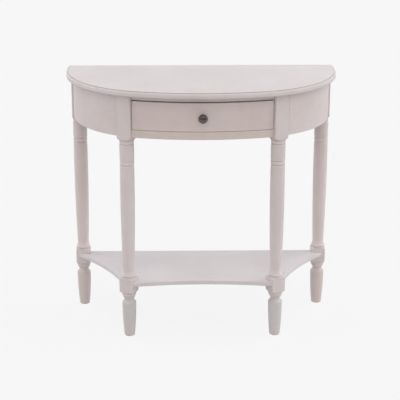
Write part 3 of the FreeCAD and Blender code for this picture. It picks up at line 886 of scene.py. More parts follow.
@dataclass
class Top:
    """The half-moon top, with a sunk step round its field and a rounded edge under it."""

    plan: Plan
    step_inset: float = 6 * MM
    step_depth: float = 2.5 * MM
    arris: float = 0.7 * MM
    edge_round: float = 5 * MM
    under_round: float = 3.5 * MM
    # Painted shade: the step's quirk is darkened along with its settled paint, fading out round the ovolo.
    quirk_shade: float = 1.0
    quirk_start: float = 1.12 * MM
    quirk_shade_fade: float = 3.0
    round_steps: int = 8

    def profile(self, thickness: float) -> list[Triple]:
        """The edge's section.

        Args:
            thickness: thickness of the board.

        Returns:
            Inset from the edge, drop from the upper face and share of settled paint and painted shade, from
            the field round to the lower face.
        """
        turns = spread(0, math.pi / 2, self.round_steps)
        arris = [
            (self.step_inset + self.arris * (1 - math.sin(turn)), self.arris * (1 - math.cos(turn)), 0.0)
            for turn in turns[::2]
        ]
        foot = [
            (self.step_inset, self.quirk_start, self.quirk_shade),
            (self.step_inset, self.step_depth, self.quirk_shade),
        ]
        middle = self.step_depth + self.edge_round
        ovolo = [
            (
                self.edge_round * (1 - math.sin(turn)),
                middle - self.edge_round * math.cos(turn),
                self.quirk_shade * max(0.0, 1 - self.quirk_shade_fade * turn),
            )
            for turn in turns
        ]
        start = thickness - self.under_round
        under = [
            (self.under_round * (1 - math.cos(turn)), start + self.under_round * math.sin(turn), 0.0)
            for turn in turns
        ]
        return arris + foot + ovolo + under

    def mesh(self) -> bpy.types.Mesh:
        """Builds the board from rings of its outline.

        Returns:
            The board's mesh.
        """
        low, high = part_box("top")
        shape = bmesh.new()
        # Each point's share of settled paint and painted shade.
        settled_paint_and_shade = shape.verts.layers.float.new("groove")
        rings = []
        for inset, drop, groove in self.profile(high.z - low.z):
            ring = [shape.verts.new((x, y, high.z - drop)) for x, y in self.plan.outline(inset)]
            for vert in ring:
                vert[settled_paint_and_shade] = groove
            rings.append(ring)
        for upper, lower in zip(rings, rings[1:]):
            for here in range(len(upper) - 1):
                shape.faces.new((upper[here], lower[here], lower[here + 1], upper[here + 1]))
        shape.faces.new(rings[0])
        shape.faces.new(rings[-1])
        shape.faces.new([ring[0] for ring in rings] + [ring[-1] for ring in reversed(rings)])
        return closed_mesh(shape, "top_board")

    def add(self) -> None:
        """Adds the top to the scene."""
        # A cooler copy of the paint: painted cool light falling on the top.
        finish = SatinPaint(Grain.WIDTH, linear(222, 218, 219), linear(210, 201, 199))
        add_piece("moulded_top", self.mesh(), finish, Body.FRAME, "top")


# Turned pieces


@dataclass(frozen=True)
class Station:
    """A point of a turning: its height and radius, the swell of the line to the next one, and its groove
    value, the share of settled paint and painted shade on the legs and of rim wear on the knob.
    """

    height: float
    radius: float
    swell: float = 0.0
    groove: float = 0.0


class TurningLathe:
    """The node tree that turns a line of stations into a solid, kept square where the stock stays square."""

    SOCKETS = {
        "Geometry": "NodeSocketGeometry",
        "Half side": "NodeSocketFloat",
        "Corner ease": "NodeSocketFloat",
        "Facets": "NodeSocketInt",
        "Place": "NodeSocketVector",
        "Rotation": "NodeSocketRotation",
        "Material": "NodeSocketMaterial",
    }

    def __init__(self, swell_steps: int = 14) -> None:
        """Builds the tree.

        Args:
            swell_steps: how many rings a swelling stretch has.
        """
        self.swell_steps = swell_steps
        self.group, self.inputs = new_shape_tree("turned_piece", self.SOCKETS)
        tree = Tree(self.group)
        given = tree.node("NodeGroupInput")
        spindle = tree.node("GeometryNodeMeshToCurve", {}, {"Mesh": given["Geometry"]})["Curve"]
        circle = {"Resolution": given["Facets"], "Radius": 1.0}
        ring = tree.node("GeometryNodeCurvePrimitiveCircle", {"mode": "RADIUS"}, circle)["Curve"]
        radius = tree.carried("turned_radius", "FLOAT")
        sweep = {"Curve": spindle, "Profile Curve": ring, "Scale": radius, "Fill Caps": True}
        turned = tree.node("GeometryNodeCurveToMesh", {}, sweep)["Mesh"]
        stock = {"Geometry": turned, "Position": self._squared(tree, given)}
        squared = tree.node("GeometryNodeSetPosition", {}, stock)["Geometry"]
        move = {"Geometry": squared, "Translation": given["Place"], "Rotation": given["Rotation"]}
        moved = tree.node("GeometryNodeTransform", {}, move)["Geometry"]
        end_shape_tree(tree, moved, given["Material"])

    @staticmethod
    def _squared(tree: Tree, given: Outputs) -> Wire:
        """Keeps the turning inside the square stock, with its corners eased.

        Args:
            tree: the tree.
            given: the tree's inputs.

        Returns:
            The new place of each point.
        """
        position = tree.node("GeometryNodeInputPosition")["Position"]
        place = tree.node("ShaderNodeSeparateXYZ", {}, {"Vector": position})
        half = given["Half side"]
        ease = given["Corner ease"]
        flat = half - ease
        kept = [abs(place[axis]).at_most(half) for axis in ("X", "Y")]
        over = [(reach - flat).at_least(0.0) for reach in kept]
        corner = (over[0] * over[0] + over[1] * over[1]) ** 0.5
        share = (ease / corner.at_least(MERGE_DISTANCE)).at_most(1.0)
        sides = [
            (reach.at_most(flat) + past * share) * place[axis].sign()
            for axis, reach, past in zip(("X", "Y"), kept, over)
        ]
        sockets = {"X": sides[0], "Y": sides[1], "Z": place["Z"]}
        return tree.node("ShaderNodeCombineXYZ", {}, sockets)["Vector"]

    def turn(self, name: str, stations: Sequence[Station], **sizes: Any) -> bpy.types.Mesh:
        """Turns one piece.

        Args:
            name: the mesh's name.
            stations: the turning, in order along its axis.
            sizes: the tree's inputs, by name, with underscores for spaces.

        Returns:
            The turned mesh.
        """
        line: list[Triple] = []
        for here, ahead in zip(stations, stations[1:]):
            ends = (here.radius, here.height), (ahead.radius, ahead.height)
            arc = swept(*ends, here.swell, self.swell_steps)
            shares = spread(here.groove, ahead.groove, len(arc) - 1)
            line += [(height, radius, share) for (radius, height), share in zip(arc[:-1], shares)]
        line.append((stations[-1].height, stations[-1].radius, stations[-1].groove))
        heights, radii, grooves = zip(*line)
        spindle = bpy.data.meshes.new(name + "_line")
        links = [(n, n + 1) for n in range(len(line) - 1)]
        spindle.from_pydata([(0, 0, height) for height in heights], links, [])
        # The groove values go on as a mesh attribute for the finishes: settled paint and painted shade on the
        # legs, rim wear on the knob.
        for label, column in (("turned_radius", radii), ("groove", grooves)):
            values = spindle.attributes.new(label, "FLOAT", "POINT")
            values.data.foreach_set("value", column)
        mesh = run_shape_tree(self.group, self.inputs, spindle, sizes)
        shape = bmesh.new()
        shape.from_mesh(mesh)
        bpy.data.meshes.remove(mesh)
        return closed_mesh(shape, name)


def new_shape_tree(name: str, sockets: dict[str, str]) -> tuple[bpy.types.NodeTree, dict[str, str]]:
    """Starts a shape's node tree.

    Args:
        name: the tree's name.
        sockets: its inputs' names and types.

    Returns:
        The tree, and each input's identifier by its name.
    """
    group = bpy.data.node_groups.new(name, "GeometryNodeTree")
    inputs = {}
    for label, kind in sockets.items():
        inputs[label] = group.interface.new_socket(name=label, in_out="INPUT", socket_type=kind).identifier
    group.interface.new_socket(name="Geometry", in_out="OUTPUT", socket_type="NodeSocketGeometry")
    return group, inputs


def end_shape_tree(tree: Tree, shape: Wire, material: Wire) -> None:
    """Ends a shape's tree in real geometry with its material.

    Args:
        tree: the tree.
        shape: the shape so far.
        material: its material.
    """
    real = tree.node("GeometryNodeRealizeInstances", {}, {"Geometry": shape})["Geometry"]
    dressed = tree.node("GeometryNodeSetMaterial", {}, {"Geometry": real, "Material": material})["Geometry"]
    tree.node("NodeGroupOutput", {}, {"Geometry": dressed})


def run_shape_tree(
    group: bpy.types.NodeTree, inputs: dict[str, str], mesh: bpy.types.Mesh, values: dict[str, Any]
) -> bpy.types.Mesh:
    """Runs a shape's tree on a mesh.

    Args:
        group: the tree.
        inputs: each input's identifier by its name.
        mesh: what the tree starts from, which is used up.
        values: the inputs' values, by name with underscores for spaces.

    Returns:
        The plain mesh that comes out.
    """
    obj = bpy.data.objects.new(mesh.name + "_run", mesh)
    modifier = obj.modifiers.new("shape", "NODES")
    modifier.node_group = group
    for label, value in values.items():
        modifier[inputs[label.replace("_", " ")]] = value
    return plain_mesh(obj)


@dataclass(frozen=True)
class LegTurning:
    """The turning of a leg, from the floor up, between its two square blocks."""

    reach: float
    top: float
    edge_round: float = 0.2 * MM
    foot_flat: float = 12.5 * MM
    foot_tip: float = 15.5 * MM
    foot_ease: float = 3 * MM
    tip_swell: float = 0.8 * MM
    foot: float = 20.6 * MM
    foot_swell: float = 1.3 * MM
    foot_top: float = 104 * MM
    foot_top_swell: float = 0.3 * MM
    foot_edge: float = 107.5 * MM
    foot_edge_drop: float = 0.5 * MM
    neck: float = 13.8 * MM
    neck_height: float = 116.5 * MM
    neck_half: float = 0.8 * MM
    neck_hollow: float = 0.1 * MM
    ankle_height: float = 132 * MM
    ankle_ease: float = 1 * MM
    ankle_drop: float = 0.4 * MM
    low_block: float = 139 * MM
    low_block_top: float = 187 * MM
    low_pommel: float = 5 * MM
    low_swell: float = 1.2 * MM
    low_groove_depth: float = 1.2 * MM
    cup: float = 21 * MM
    cup_groove_depth: float = 1.7 * MM
    cup_edge: float = 2 * MM
    cup_drop: float = 0.2 * MM
    flare_height: float = 20 * MM
    flare_hollow: float = 0.6 * MM
    shaft_low: float = 16.8 * MM
    shaft_high: float = 20.7 * MM
    shaft_top: float = 529 * MM
    shaft_swell: float = 1.8 * MM
    groove_width: float = 5 * MM
    groove_depth: float = 1.9 * MM
    ring: float = 20.8 * MM
    ring_height: float = 8 * MM
    ring_ease: float = 0.6 * MM
    ring_drop: float = 0.7 * MM
    head: float = 21 * MM
    head_height: float = 45 * MM
    collar_rise: float = 1 * MM
    collar_drop: float = 0.9 * MM
    high_pommel: float = 10.5 * MM
    high_swell: float = 1.6 * MM
    facets: int = 96
    corner_ease: float = 2.6 * MM

    def bead(self, bottom: float) -> list[Station]:
        """A groove, a bead and the edge of the next groove, from a height."""
        low = bottom + self.groove_width
        high = low + self.ring_height
        edge = self.ring - self.ring_drop
        return [
            Station(bottom + self.groove_width / 2, self.ring - self.groove_depth, groove=0.6),
            Station(low - self.ring_ease, edge, swell=self.edge_round, groove=0.2),
            Station(low + self.ring_ease, self.ring),
            Station(high - self.ring_ease, self.ring, swell=self.edge_round),
            Station(high + self.ring_ease, edge, groove=0.2),
        ]

    def stations(self) -> list[Station]:
        """The whole turning.

        Returns:
            Its stations, from the floor up.
        """
        cup_groove = self.low_block_top + self.groove_width / 2
        cup_bottom = self.low_block_top + self.groove_width
        head_bottom = self.shaft_top + 2 * self.groove_width + self.ring_height
        head_top = head_bottom + self.head_height
        collar_top = head_top + self.groove_width + self.ring_height + self.collar_rise
        low_groove = self.foot - self.low_groove_depth
        # The groove values darken the paint in the grooves, under the blocks and at the collar: settled paint
        # and painted shade.
        return [
            Station(0.0, self.foot_flat, swell=self.tip_swell),
            Station(self.foot_ease, self.foot_tip, swell=self.foot_swell),
            Station(self.foot_top, self.foot, swell=self.foot_top_swell),
            Station(self.foot_edge, self.foot - self.foot_edge_drop, groove=0.35),
            Station(self.neck_height - self.neck_half, self.neck, swell=-self.neck_hollow, groove=0.3),
            Station(self.neck_height + self.neck_half, self.neck),
            Station(self.ankle_height - self.ankle_ease, self.foot - self.ankle_drop, swell=self.edge_round),
            Station(self.ankle_height + self.ankle_ease, self.foot),
            Station(self.low_block - self.groove_width / 2, self.foot, groove=0.1),
            Station(self.low_block, low_groove, swell=self.low_swell, groove=0.8),
            Station(self.low_block + self.low_pommel, self.reach),
            Station(self.low_block_top - self.low_pommel, self.reach, swell=self.low_swell),
            Station(self.low_block_top, self.cup, groove=0.3),
            Station(cup_groove, self.cup - self.cup_groove_depth, groove=1.0),
            Station(cup_bottom, self.cup, swell=self.edge_round),
            Station(cup_bottom + self.cup_edge, self.cup - self.cup_drop, swell=-self.flare_hollow),
            Station(self.low_block_top + self.flare_height, self.shaft_low, swell=self.shaft_swell),
            Station(self.shaft_top, self.shaft_high, groove=0.1),
            *self.bead(self.shaft_top),
            Station(head_bottom - self.groove_width / 2, self.head - self.groove_depth, groove=0.6),
            Station(head_bottom, self.head, groove=0.1),
            Station(head_top, self.head, groove=0.1),
            *self.bead(head_top),
            Station(collar_top, self.ring - self.collar_drop, swell=self.high_swell, groove=0.9),
            Station(collar_top + self.high_pommel, self.reach),
            Station(self.top, self.reach),
        ]


@dataclass
class Legs:
    """The four turned legs: the back ones stand square, the front ones square to the end arcs."""

    lathe: TurningLathe
    plan: Plan

    def add(self) -> None:
        """Turns a leg at each place and adds it to the scene."""
        # Copies of the paint tinted by how light fell, which is painted light: the front legs and feet cooler
        # and greyer, the back legs lighter with warmer feet.
        light_tinted_paints = {
            "front": (linear(225, 220, 220), linear(214, 205, 203), linear(206, 208, 207)),
            "back": (linear(228, 221, 221), linear(216, 206, 203), linear(217, 205, 202)),
        }
        for (row, (light, deep, foot)), plan in zip(light_tinted_paints.items(), (self.plan, None)):
            finish = SatinPaint(Grain.UPRIGHT, light, deep, foot=foot)
            place = LegPlace.from_frame(f"{row}_left_leg", plan)
            turning = LegTurning(reach=place.half * math.sqrt(2), top=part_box(f"{row}_left_leg")[1].z)
            left = self.lathe.turn(
                f"{row}_leg",
                turning.stations(),
                Half_side=place.half,
                Corner_ease=turning.corner_ease,
                Facets=turning.facets,
                Place=(*place.axis, 0.0),
                Rotation=(0.0, 0.0, -place.turn),
                Material=PALETTE[finish],
            )
            right = mirrored(left, left.name + "_right")
            for side, mesh in (("left", left), ("right", right)):
                add_piece(f"turned_{row}_leg_{side}", mesh, finish, Body.FRAME, f"{row}_{side}_leg")


# Carcass


@dataclass
class Carcass:
    """Aprons, rails and the shelf, which tie the legs together."""

    plan: Plan
    front_leg: LegPlace
    back_leg: LegPlace
    overhang: float = 20 * MM
    apron_thickness: float = 18 * MM
    front_offset: float = 29 * MM
    ease: float = 1.1 * MM
    shelf_ease: float = 2.0 * MM
    apron_steps: int = 40
    shelf_back_lap: float = 33 * MM
    shelf_side_lap: float = 4 * MM
    shelf_front_lap: float = 16 * MM
    shelf_side_bow: float = 14.5 * MM
    shelf_front_bow: float = 18.8 * MM
    shelf_steps: int = 36

    def apron_line(self, inset: float) -> list[Point]:
        """One face of the left apron, from the front leg to the back leg.

        Args:
            inset: how far the face lies in from the top's edge.

        Returns:
            The face's points in plan.
        """
        radius = self.plan.end_radius - inset
        start = self.front_leg.turn + math.asin(self.front_leg.half / radius)
        back_face = self.back_leg.axis.y - self.back_leg.half
        end = math.acos((self.plan.end_centre.y - back_face) / radius)
        return [self.plan.on_end(inset, angle) for angle in spread(start, end, self.apron_steps)]

    def add_aprons(self) -> None:
        """Adds the two curved side aprons."""
        finish = SatinPaint(Grain.ROUND)
        low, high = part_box("left_apron")
        outer = self.apron_line(self.overhang)
        inner = self.apron_line(self.overhang + self.apron_thickness)
        left = eased(bent_board(outer, inner, low.z, high.z, "left_apron_board"), self.ease)
        right = mirrored(left, "right_apron_board")
        add_piece("curved_apron_left", left, finish, Body.FRAME, "left_apron")
        add_piece("curved_apron_right", right, finish, Body.FRAME, "right_apron")

    def rail_outline(self, back: float) -> list[Point]:
        """Plan of a front rail: bowed in front, straight behind, and ending on the front legs.

        Args:
            back: where the straight back edge lies.

        Returns:
            The rail's outline.
        """
        radius = self.plan.end_radius - self.front_offset
        angle = self.front_leg.turn - math.asin(self.front_leg.half / radius)
        near = Vector(self.front_leg.beside(0.0, self.front_leg.half))
        reach = (near.y - back) / math.cos(self.front_leg.turn)
        corner = self.front_leg.beside(reach, self.front_leg.half)
        return [*self.plan.bow(self.front_offset, angle), *across([corner]), corner]

    def add_rails(self) -> None:
        """Adds the rails over and under the drawer."""
        # A warmer, darker copy of the paint: painted warm light and shade under the top.
        finish = SatinPaint(Grain.WIDTH, linear(221, 212, 209), linear(209, 197, 191))
        for node in ("upper_front_rail", "lower_front_rail"):
            low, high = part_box(node)
            board = prism(self.rail_outline(high.y), low.z, high.z, node + "_board")
            add_piece("bowed_" + node, eased(board, self.ease), finish, Body.FRAME, node)

    def shelf_outline(self) -> list[Point]:
        """Plan of the shelf: hollow in front and at the sides, let in round the leg blocks.

        Returns:
            The shelf's outline.
        """
        half = self.front_leg.half
        back_block = self.back_leg.axis.x + self.back_leg.half
        back_face = self.back_leg.axis.y - self.back_leg.half
        side_end = self.front_leg.beside(self.shelf_side_lap, -half)
        front_end = self.front_leg.beside(self.shelf_front_lap, half)
        lap = (back_block - self.shelf_back_lap, back_face)
        left = [
            (back_block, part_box("shelf")[1].y),
            (back_block, back_face),
            *swept(lap, side_end, -self.shelf_side_bow, self.shelf_steps),
            self.front_leg.beside(-half, -half),
            self.front_leg.beside(-half, half),
        ]
        front = swept(front_end, across([front_end])[0], -self.shelf_front_bow, self.shelf_steps)
        return left + front + across(left)

    def add_shelf(self) -> None:
        """Adds the lower shelf."""
        low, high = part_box("shelf")
        # A lighter, cooler copy of the paint: painted sheen of the pale backdrop on the shelf.
        finish = SatinPaint(Grain.WIDTH, linear(226, 223, 226), linear(214, 208, 208))
        board = prism(self.shelf_outline(), low.z, high.z, "shelf_board")
        add_piece("hollow_shelf", eased(board, self.shelf_ease), finish, Body.FRAME, "shelf")

    def add_inner_boards(self) -> None:
        """Adds the boards that the photograph's view doesn't reach."""
        boards = {
            "back_apron": SatinPaint(Grain.WIDTH),
            "back_cleat": BarePine(Grain.WIDTH),
            "left_top_block": BarePine(Grain.DEPTH),
            "right_top_block": BarePine(Grain.DEPTH),
            "left_runner": BarePine(Grain.DEPTH),
            "right_runner": BarePine(Grain.DEPTH),
            "drawer_stops": BarePine(Grain.WIDTH),
        }
        add_planed(boards, self.ease / 2, Body.FRAME)

    def add(self) -> None:
        """Adds the whole carcass."""
        self.add_aprons()
        self.add_rails()
        self.add_shelf()
        self.add_inner_boards()


# Drawer


@dataclass(frozen=True)
class KnobTurning:
    """The turning of the knob, from the drawer front outwards."""

    length: float
    base: float = 7.6 * MM
    base_side: float = 1.2 * MM
    base_round: float = 0.3 * MM
    stem_bottom: float = 2.4 * MM
    stem_foot: float = 6 * MM
    stem_hollow: float = 0.6 * MM
    stem_top: float = 9 * MM
    stem_neck: float = 6.4 * MM
    bell_hollow: float = 0.9 * MM
    bell: float = 12.1 * MM
    bell_top: float = 13.2 * MM
    bell_swell: float = 0.5 * MM
    rim: float = 13.3 * MM
    rim_height: float = 16.2 * MM
    rim_swell: float = 0.2 * MM
    crown: float = 12.7 * MM
    crown_bottom: float = 18.2 * MM
    crown_swell: float = 1.8 * MM
    tip: float = 0.2 * MM
    facets: int = 64

    def stations(self) -> list[Station]:
        """The whole turning.

        Returns:
            Its stations, from the drawer front outwards.
        """
        return [
            Station(0.0, self.base),
            Station(self.base_side, self.base, swell=self.base_round),
            Station(self.stem_bottom, self.stem_foot, swell=-self.stem_hollow),
            Station(self.stem_top, self.stem_neck, swell=-self.bell_hollow),
            Station(self.bell_top, self.bell, swell=self.bell_swell),
            Station(self.rim_height, self.rim, swell=self.rim_swell, groove=0.6),
            Station(self.crown_bottom, self.crown, swell=self.crown_swell, groove=0.4),
            Station(self.length, self.tip),
        ]


@dataclass
class Drawer:
    """The drawer: a bowed front with a turned knob, and a plain pine box behind it."""

    plan: Plan
    leg: LegPlace
    lathe: TurningLathe
    front_offset: float = 29 * MM
    front_thickness: float = 18 * MM
    end_gap: float = 1.5 * MM
    hang: float = 0.6 * MM
    heart_back: float = 30 * MM
    heart_depth: float = 40 * MM
    ease: float = 1.2 * MM

    def front_line(self, inset: float) -> list[Point]:
        """One face of the drawer front, from end to end."""
        radius = self.plan.end_radius - inset
        angle = self.leg.turn - math.asin((self.leg.half + self.end_gap) / radius)
        return self.plan.bow(inset, angle)

    def add_front(self) -> None:
        """Adds the bowed drawer front."""
        low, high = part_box("drawer_front")
        # A warmer copy of the paint: painted warm light on the drawer front.
        finish = SatinPaint(Grain.WIDTH, linear(223, 214, 213), linear(211, 199, 195))
        outer = self.front_line(self.front_offset)
        inner = self.front_line(self.front_offset + self.front_thickness)
        board = bent_board(outer, inner, low.z - self.hang, high.z, "drawer_front_board")
        add_piece("bowed_drawer_front", eased(board, self.ease), finish, Body.DRAWER, "drawer_front")

    def add_knob(self) -> None:
        """Turns the knob and adds it."""
        low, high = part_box("drawer_knob")
        # The knob's middle: below it the metal is painted lighter as a reflection of the floor.
        finish = DarkMetal(tuple((low + high) / 2))
        turning = KnobTurning(length=high.y - low.y)
        mesh = self.lathe.turn(
            "knob",
            turning.stations(),
            Half_side=turning.rim * 2,
            Corner_ease=0.0,
            Facets=turning.facets,
            Place=((low.x + high.x) / 2, high.y, (low.z + high.z) / 2),
            Rotation=(math.pi / 2, 0.0, 0.0),
            Material=PALETTE[finish],
        )
        add_piece("turned_knob", mesh, finish, Body.DRAWER, "drawer_knob")

    def add_box(self) -> None:
        """Adds the boards of the drawer box."""
        low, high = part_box("drawer_bottom")
        heart = (0.0, (low.y + high.y) / 2 + self.heart_back, low.z - self.heart_depth)
        boards = {
            "drawer_left_side": BarePine(Grain.DEPTH),
            "drawer_right_side": BarePine(Grain.DEPTH),
            "drawer_back": BarePine(Grain.WIDTH),
            "drawer_bottom": BarePine(Grain.WIDTH, "drawer_bottom_pine", heart),
        }
        add_planed(boards, self.ease / 3, Body.DRAWER)

    def add(self) -> None:
        """Adds the whole drawer."""
        self.add_front()
        self.add_knob()
        self.add_box()


# Fasteners


@dataclass(frozen=True)
class Pin:
    """One fastener of the frame: its middle, the way that it points, its length and its shank's radius."""

    middle: Vector
    way: Vector
    length: float
    radius: float


def pins_of(node: str) -> list[Pin]:
    """Measures the separate fasteners in one of the frame's nodes.

    Args:
        node: the node.

    Returns:
        A pin for each, pointing from its thick end, where it has one, to its thin end.
    """
    shape = node_copy(node)
    waiting = set(shape.verts)
    pins = []
    while waiting:
        island = [waiting.pop()]
        for vert in island:
            linked = {edge.other_vert(vert) for edge in vert.link_edges} & waiting
            waiting -= linked
            island.extend(linked)
        points = np.array([vert.co for vert in island])
        off_middle = points - points.mean(axis=0)
        way = np.linalg.eigh(off_middle.T @ off_middle)[1][:, -1]
        along = off_middle @ way
        aside = np.linalg.norm(off_middle - np.outer(along, way), axis=1)
        if aside[along > 0].max() > aside[along < 0].max() + HEAD_STEP:
            way = -way
            along = -along
        middle = points.mean(axis=0) + way * (along.max() + along.min()) / 2
        thin = aside[along > along.max() - TIP_LENGTH].max()
        pins.append(Pin(Vector(middle), Vector(way), along.max() - along.min(), thin))
    shape.free()
    return pins


class PinSetter:
    """The node tree that sets one fastener at each point of a node, along the way that the point carries."""

    SOCKETS = {
        "Geometry": "NodeSocketGeometry",
        "Fastener": "NodeSocketObject",
        "Material": "NodeSocketMaterial",
    }

    def __init__(self) -> None:
        """Builds the tree."""
        self.group, self.inputs = new_shape_tree("set_fasteners", self.SOCKETS)
        tree = Tree(self.group)
        given = tree.node("NodeGroupInput")
        points = tree.node("GeometryNodeMeshToPoints", {}, {"Mesh": given["Geometry"]})["Points"]
        way = {"Vector": tree.carried("way", "FLOAT_VECTOR")}
        turn = tree.node("FunctionNodeAlignRotationToVector", {"axis": "Z"}, way)["Rotation"]
        pattern = {"Object": given["Fastener"], "As Instance": True}
        fastener = tree.node("GeometryNodeObjectInfo", {}, pattern)["Geometry"]
        places = {"Points": points, "Instance": fastener, "Rotation": turn}
        row = tree.node("GeometryNodeInstanceOnPoints", {}, places)["Instances"]
        end_shape_tree(tree, row, given["Material"])

    def set(self, name: str, pins: Sequence[Pin], fastener: bpy.types.Mesh, finish: Finish) -> bpy.types.Mesh:
        """Sets a row of fasteners.

        Args:
            name: the mesh's name.
            pins: where they go.
            fastener: one fastener, pointing along Z with its middle at the origin, which is used up.
            finish: their finish.

        Returns:
            The mesh of the row.
        """
        pattern = bpy.data.objects.new(name + "_pattern", fastener)
        bpy.context.scene.collection.objects.link(pattern)
        places = bpy.data.meshes.new(name)
        places.from_pydata([pin.middle for pin in pins], [], [])
        ways = places.attributes.new("way", "FLOAT_VECTOR", "POINT")
        ways.data.foreach_set("vector", [part for pin in pins for part in pin.way])
        values = {"Fastener": pattern, "Material": PALETTE[finish]}
        mesh = run_shape_tree(self.group, self.inputs, places, values)
        bpy.data.objects.remove(pattern)
        bpy.data.meshes.remove(fastener)
        mesh.set_sharp_from_angle(angle=SMOOTH_ANGLE)
        return mesh


def round_ring(shape: bmesh.types.BMesh, radii: Sequence[float], height: float) -> list[bmesh.types.BMVert]:
    """Points round the Z axis.

    Args:
        shape: the mesh that they are added to.
        radii: how far from the axis each lies.
        height: how high they all lie.

    Returns:
        The points, in order.
    """
    ring = []
    for radius, turn in zip(radii, spread(0, math.tau, len(radii))):
        ring.append(shape.verts.new((radius * math.cos(turn), radius * math.sin(turn), height)))
    return ring


@dataclass
class Fasteners:
    """Fluted dowels in the joints, and the screws under the top and behind the knob."""

    setter: PinSetter
    flutes: int = 12
    flute_steps: int = 4
    flute_depth: float = 0.25 * MM
    dowel_ease: float = 1.2 * MM
    head_radius: float = 4 * MM
    head_height: float = 3 * MM
    head_rim: float = 0.4 * MM
    pan_rise: float = 0.2 * MM
    pan_drop: float = 0.6 * MM
    cross_reach: float = 2.2 * MM
    cross_half: float = 0.55 * MM
    cross_depth: float = 1.4 * MM
    cross_taper: float = 0.6
    screw_facets: int = 32
    screw_tip: float = 3 * MM
    thread_pitch: float = 1.6 * MM
    thread_depth: float = 0.35 * MM

    def dowel(self, pin: Pin) -> bpy.types.Mesh:
        """A fluted dowel with eased ends.

        Args:
            pin: the dowel's size.

        Returns:
            The dowel's mesh, along Z about the origin.
        """
        shape = bmesh.new()
        half = pin.length / 2
        rows = (
            (-half, self.dowel_ease),
            (-half + self.dowel_ease, 0.0),
            (half - self.dowel_ease, 0.0),
            (half, self.dowel_ease),
        )
        turns = spread(0, math.tau, self.flutes * self.flute_steps)[:-1]
        depths = [self.flute_depth * (1 - math.cos(self.flutes * turn)) / 2 for turn in turns]
        rings = []
        for height, drawn_in in rows:
            radii = [pin.radius - drawn_in - depth for depth in depths]
            rings.append(round_ring(shape, radii, height))
        close_rings(shape, rings)
        return closed_mesh(shape, "dowel")

    def screw(self, pin: Pin, flat_head: bool) -> bpy.types.Mesh:
        """A screw with a cross slot, pointing up from its head.

        Args:
            pin: the screw's size.
            flat_head: whether its head is sunk and flat, or a round pan.

        Returns:
            The screw's mesh, along Z about the origin.
        """
        shape = bmesh.new()
        low = -pin.length / 2
        neck = low + self.head_height
        rows = [(low, self.head_radius), (low + self.head_rim, self.head_radius)]
        rows += [] if flat_head else [(neck - self.pan_rise, self.head_radius - self.pan_drop)]
        rows += [(neck, pin.radius)]
        turns = int((pin.length - self.head_height - self.screw_tip) / self.thread_pitch)
        for turn in range(turns):
            foot = neck + self.thread_pitch * (turn + 0.5)
            rows += [(foot, pin.radius - self.thread_depth), (foot + self.thread_pitch / 2, pin.radius)]
        rows += [(-low, pin.radius / 3)]
        rings = [round_ring(shape, [radius] * self.screw_facets, height) for height, radius in rows]
        close_rings(shape, rings, close_first=False)
        self._cut_cross(shape, rings[0], low)
        return closed_mesh(shape, "screw")

    def _cut_cross(self, shape: bmesh.types.BMesh, rim: list[bmesh.types.BMVert], face: float) -> None:
        """Closes a screw's head with a face that has a cross slot in it.

        Args:
            shape: the screw's mesh.
            rim: the head's rim.
            face: height of the head's face.
        """
        arm = [
            (self.cross_half, self.cross_half),
            (self.cross_half, self.cross_reach),
            (-self.cross_half, self.cross_reach),
        ]
        outline = []
        for quarter in range(4):
            turn = Matrix.Rotation(math.pi / 2 * quarter, 2)
            outline += [turn @ Vector(corner) for corner in arm]
        mouth = [shape.verts.new((*corner, face)) for corner in outline]
        depth = face + self.cross_depth
        floor = [shape.verts.new((*(corner * self.cross_taper), depth)) for corner in outline]
        edges = [shape.edges.get((rim[n - 1], rim[n])) for n in range(len(rim))]
        for here in range(len(mouth)):
            edges.append(shape.edges.new((mouth[here - 1], mouth[here])))
            shape.faces.new((mouth[here - 1], mouth[here], floor[here], floor[here - 1]))
        shape.faces.new(floor)
        bmesh.ops.triangle_fill(shape, use_beauty=True, use_dissolve=False, edges=edges)

    def add(self) -> None:
        """Sets every dowel and screw."""
        dowels = {
            "apron_dowels": Body.FRAME,
            "rail_dowels": Body.FRAME,
            "runner_dowels": Body.FRAME,
            "shelf_dowels": Body.FRAME,
            "drawer_dowels": Body.DRAWER,
        }
        pine = BarePine(Grain.ROUND)
        for node, body in dowels.items():
            pins = pins_of(node)
            mesh = self.setter.set(node, pins, self.dowel(pins[0]), pine)
            add_piece("fluted_" + node, mesh, pine, body, node)
        steel = ZincSteel()
        for node, body, flat in (("top_screws", Body.FRAME, True), ("knob_screw", Body.DRAWER, False)):
            pins = pins_of(node)
            mesh = self.setter.set(node, pins, self.screw(pins[0], flat), steel)
            add_piece("cross_slot_" + node, mesh, steel, body, node)


# Studio


@dataclass(frozen=True)
class Lamp:
    """A lamp far off: its turn from straight in front to the right, its rise, its light and its breadth."""

    name: str
    turn: float
    rise: float
    strength: float
    colour: Triple = (1.0, 1.0, 1.0)
    breadth: float = 70.0

    def add(self) -> None:
        """Adds the lamp to the scene."""
        lamp = bpy.data.lights.new(self.name, "SUN")
        lamp.energy = self.strength
        lamp.color = self.colour
        lamp.angle = math.radians(self.breadth)
        turn, rise = math.radians(self.turn), math.radians(self.rise)
        level = math.cos(rise)
        from_table = Vector((math.sin(turn) * level, -math.cos(turn) * level, math.sin(rise)))
        holder = bpy.data.objects.new(self.name, lamp)
        holder.rotation_euler = from_table.to_track_quat("Z", "Y").to_euler()
        bpy.context.scene.collection.objects.link(holder)


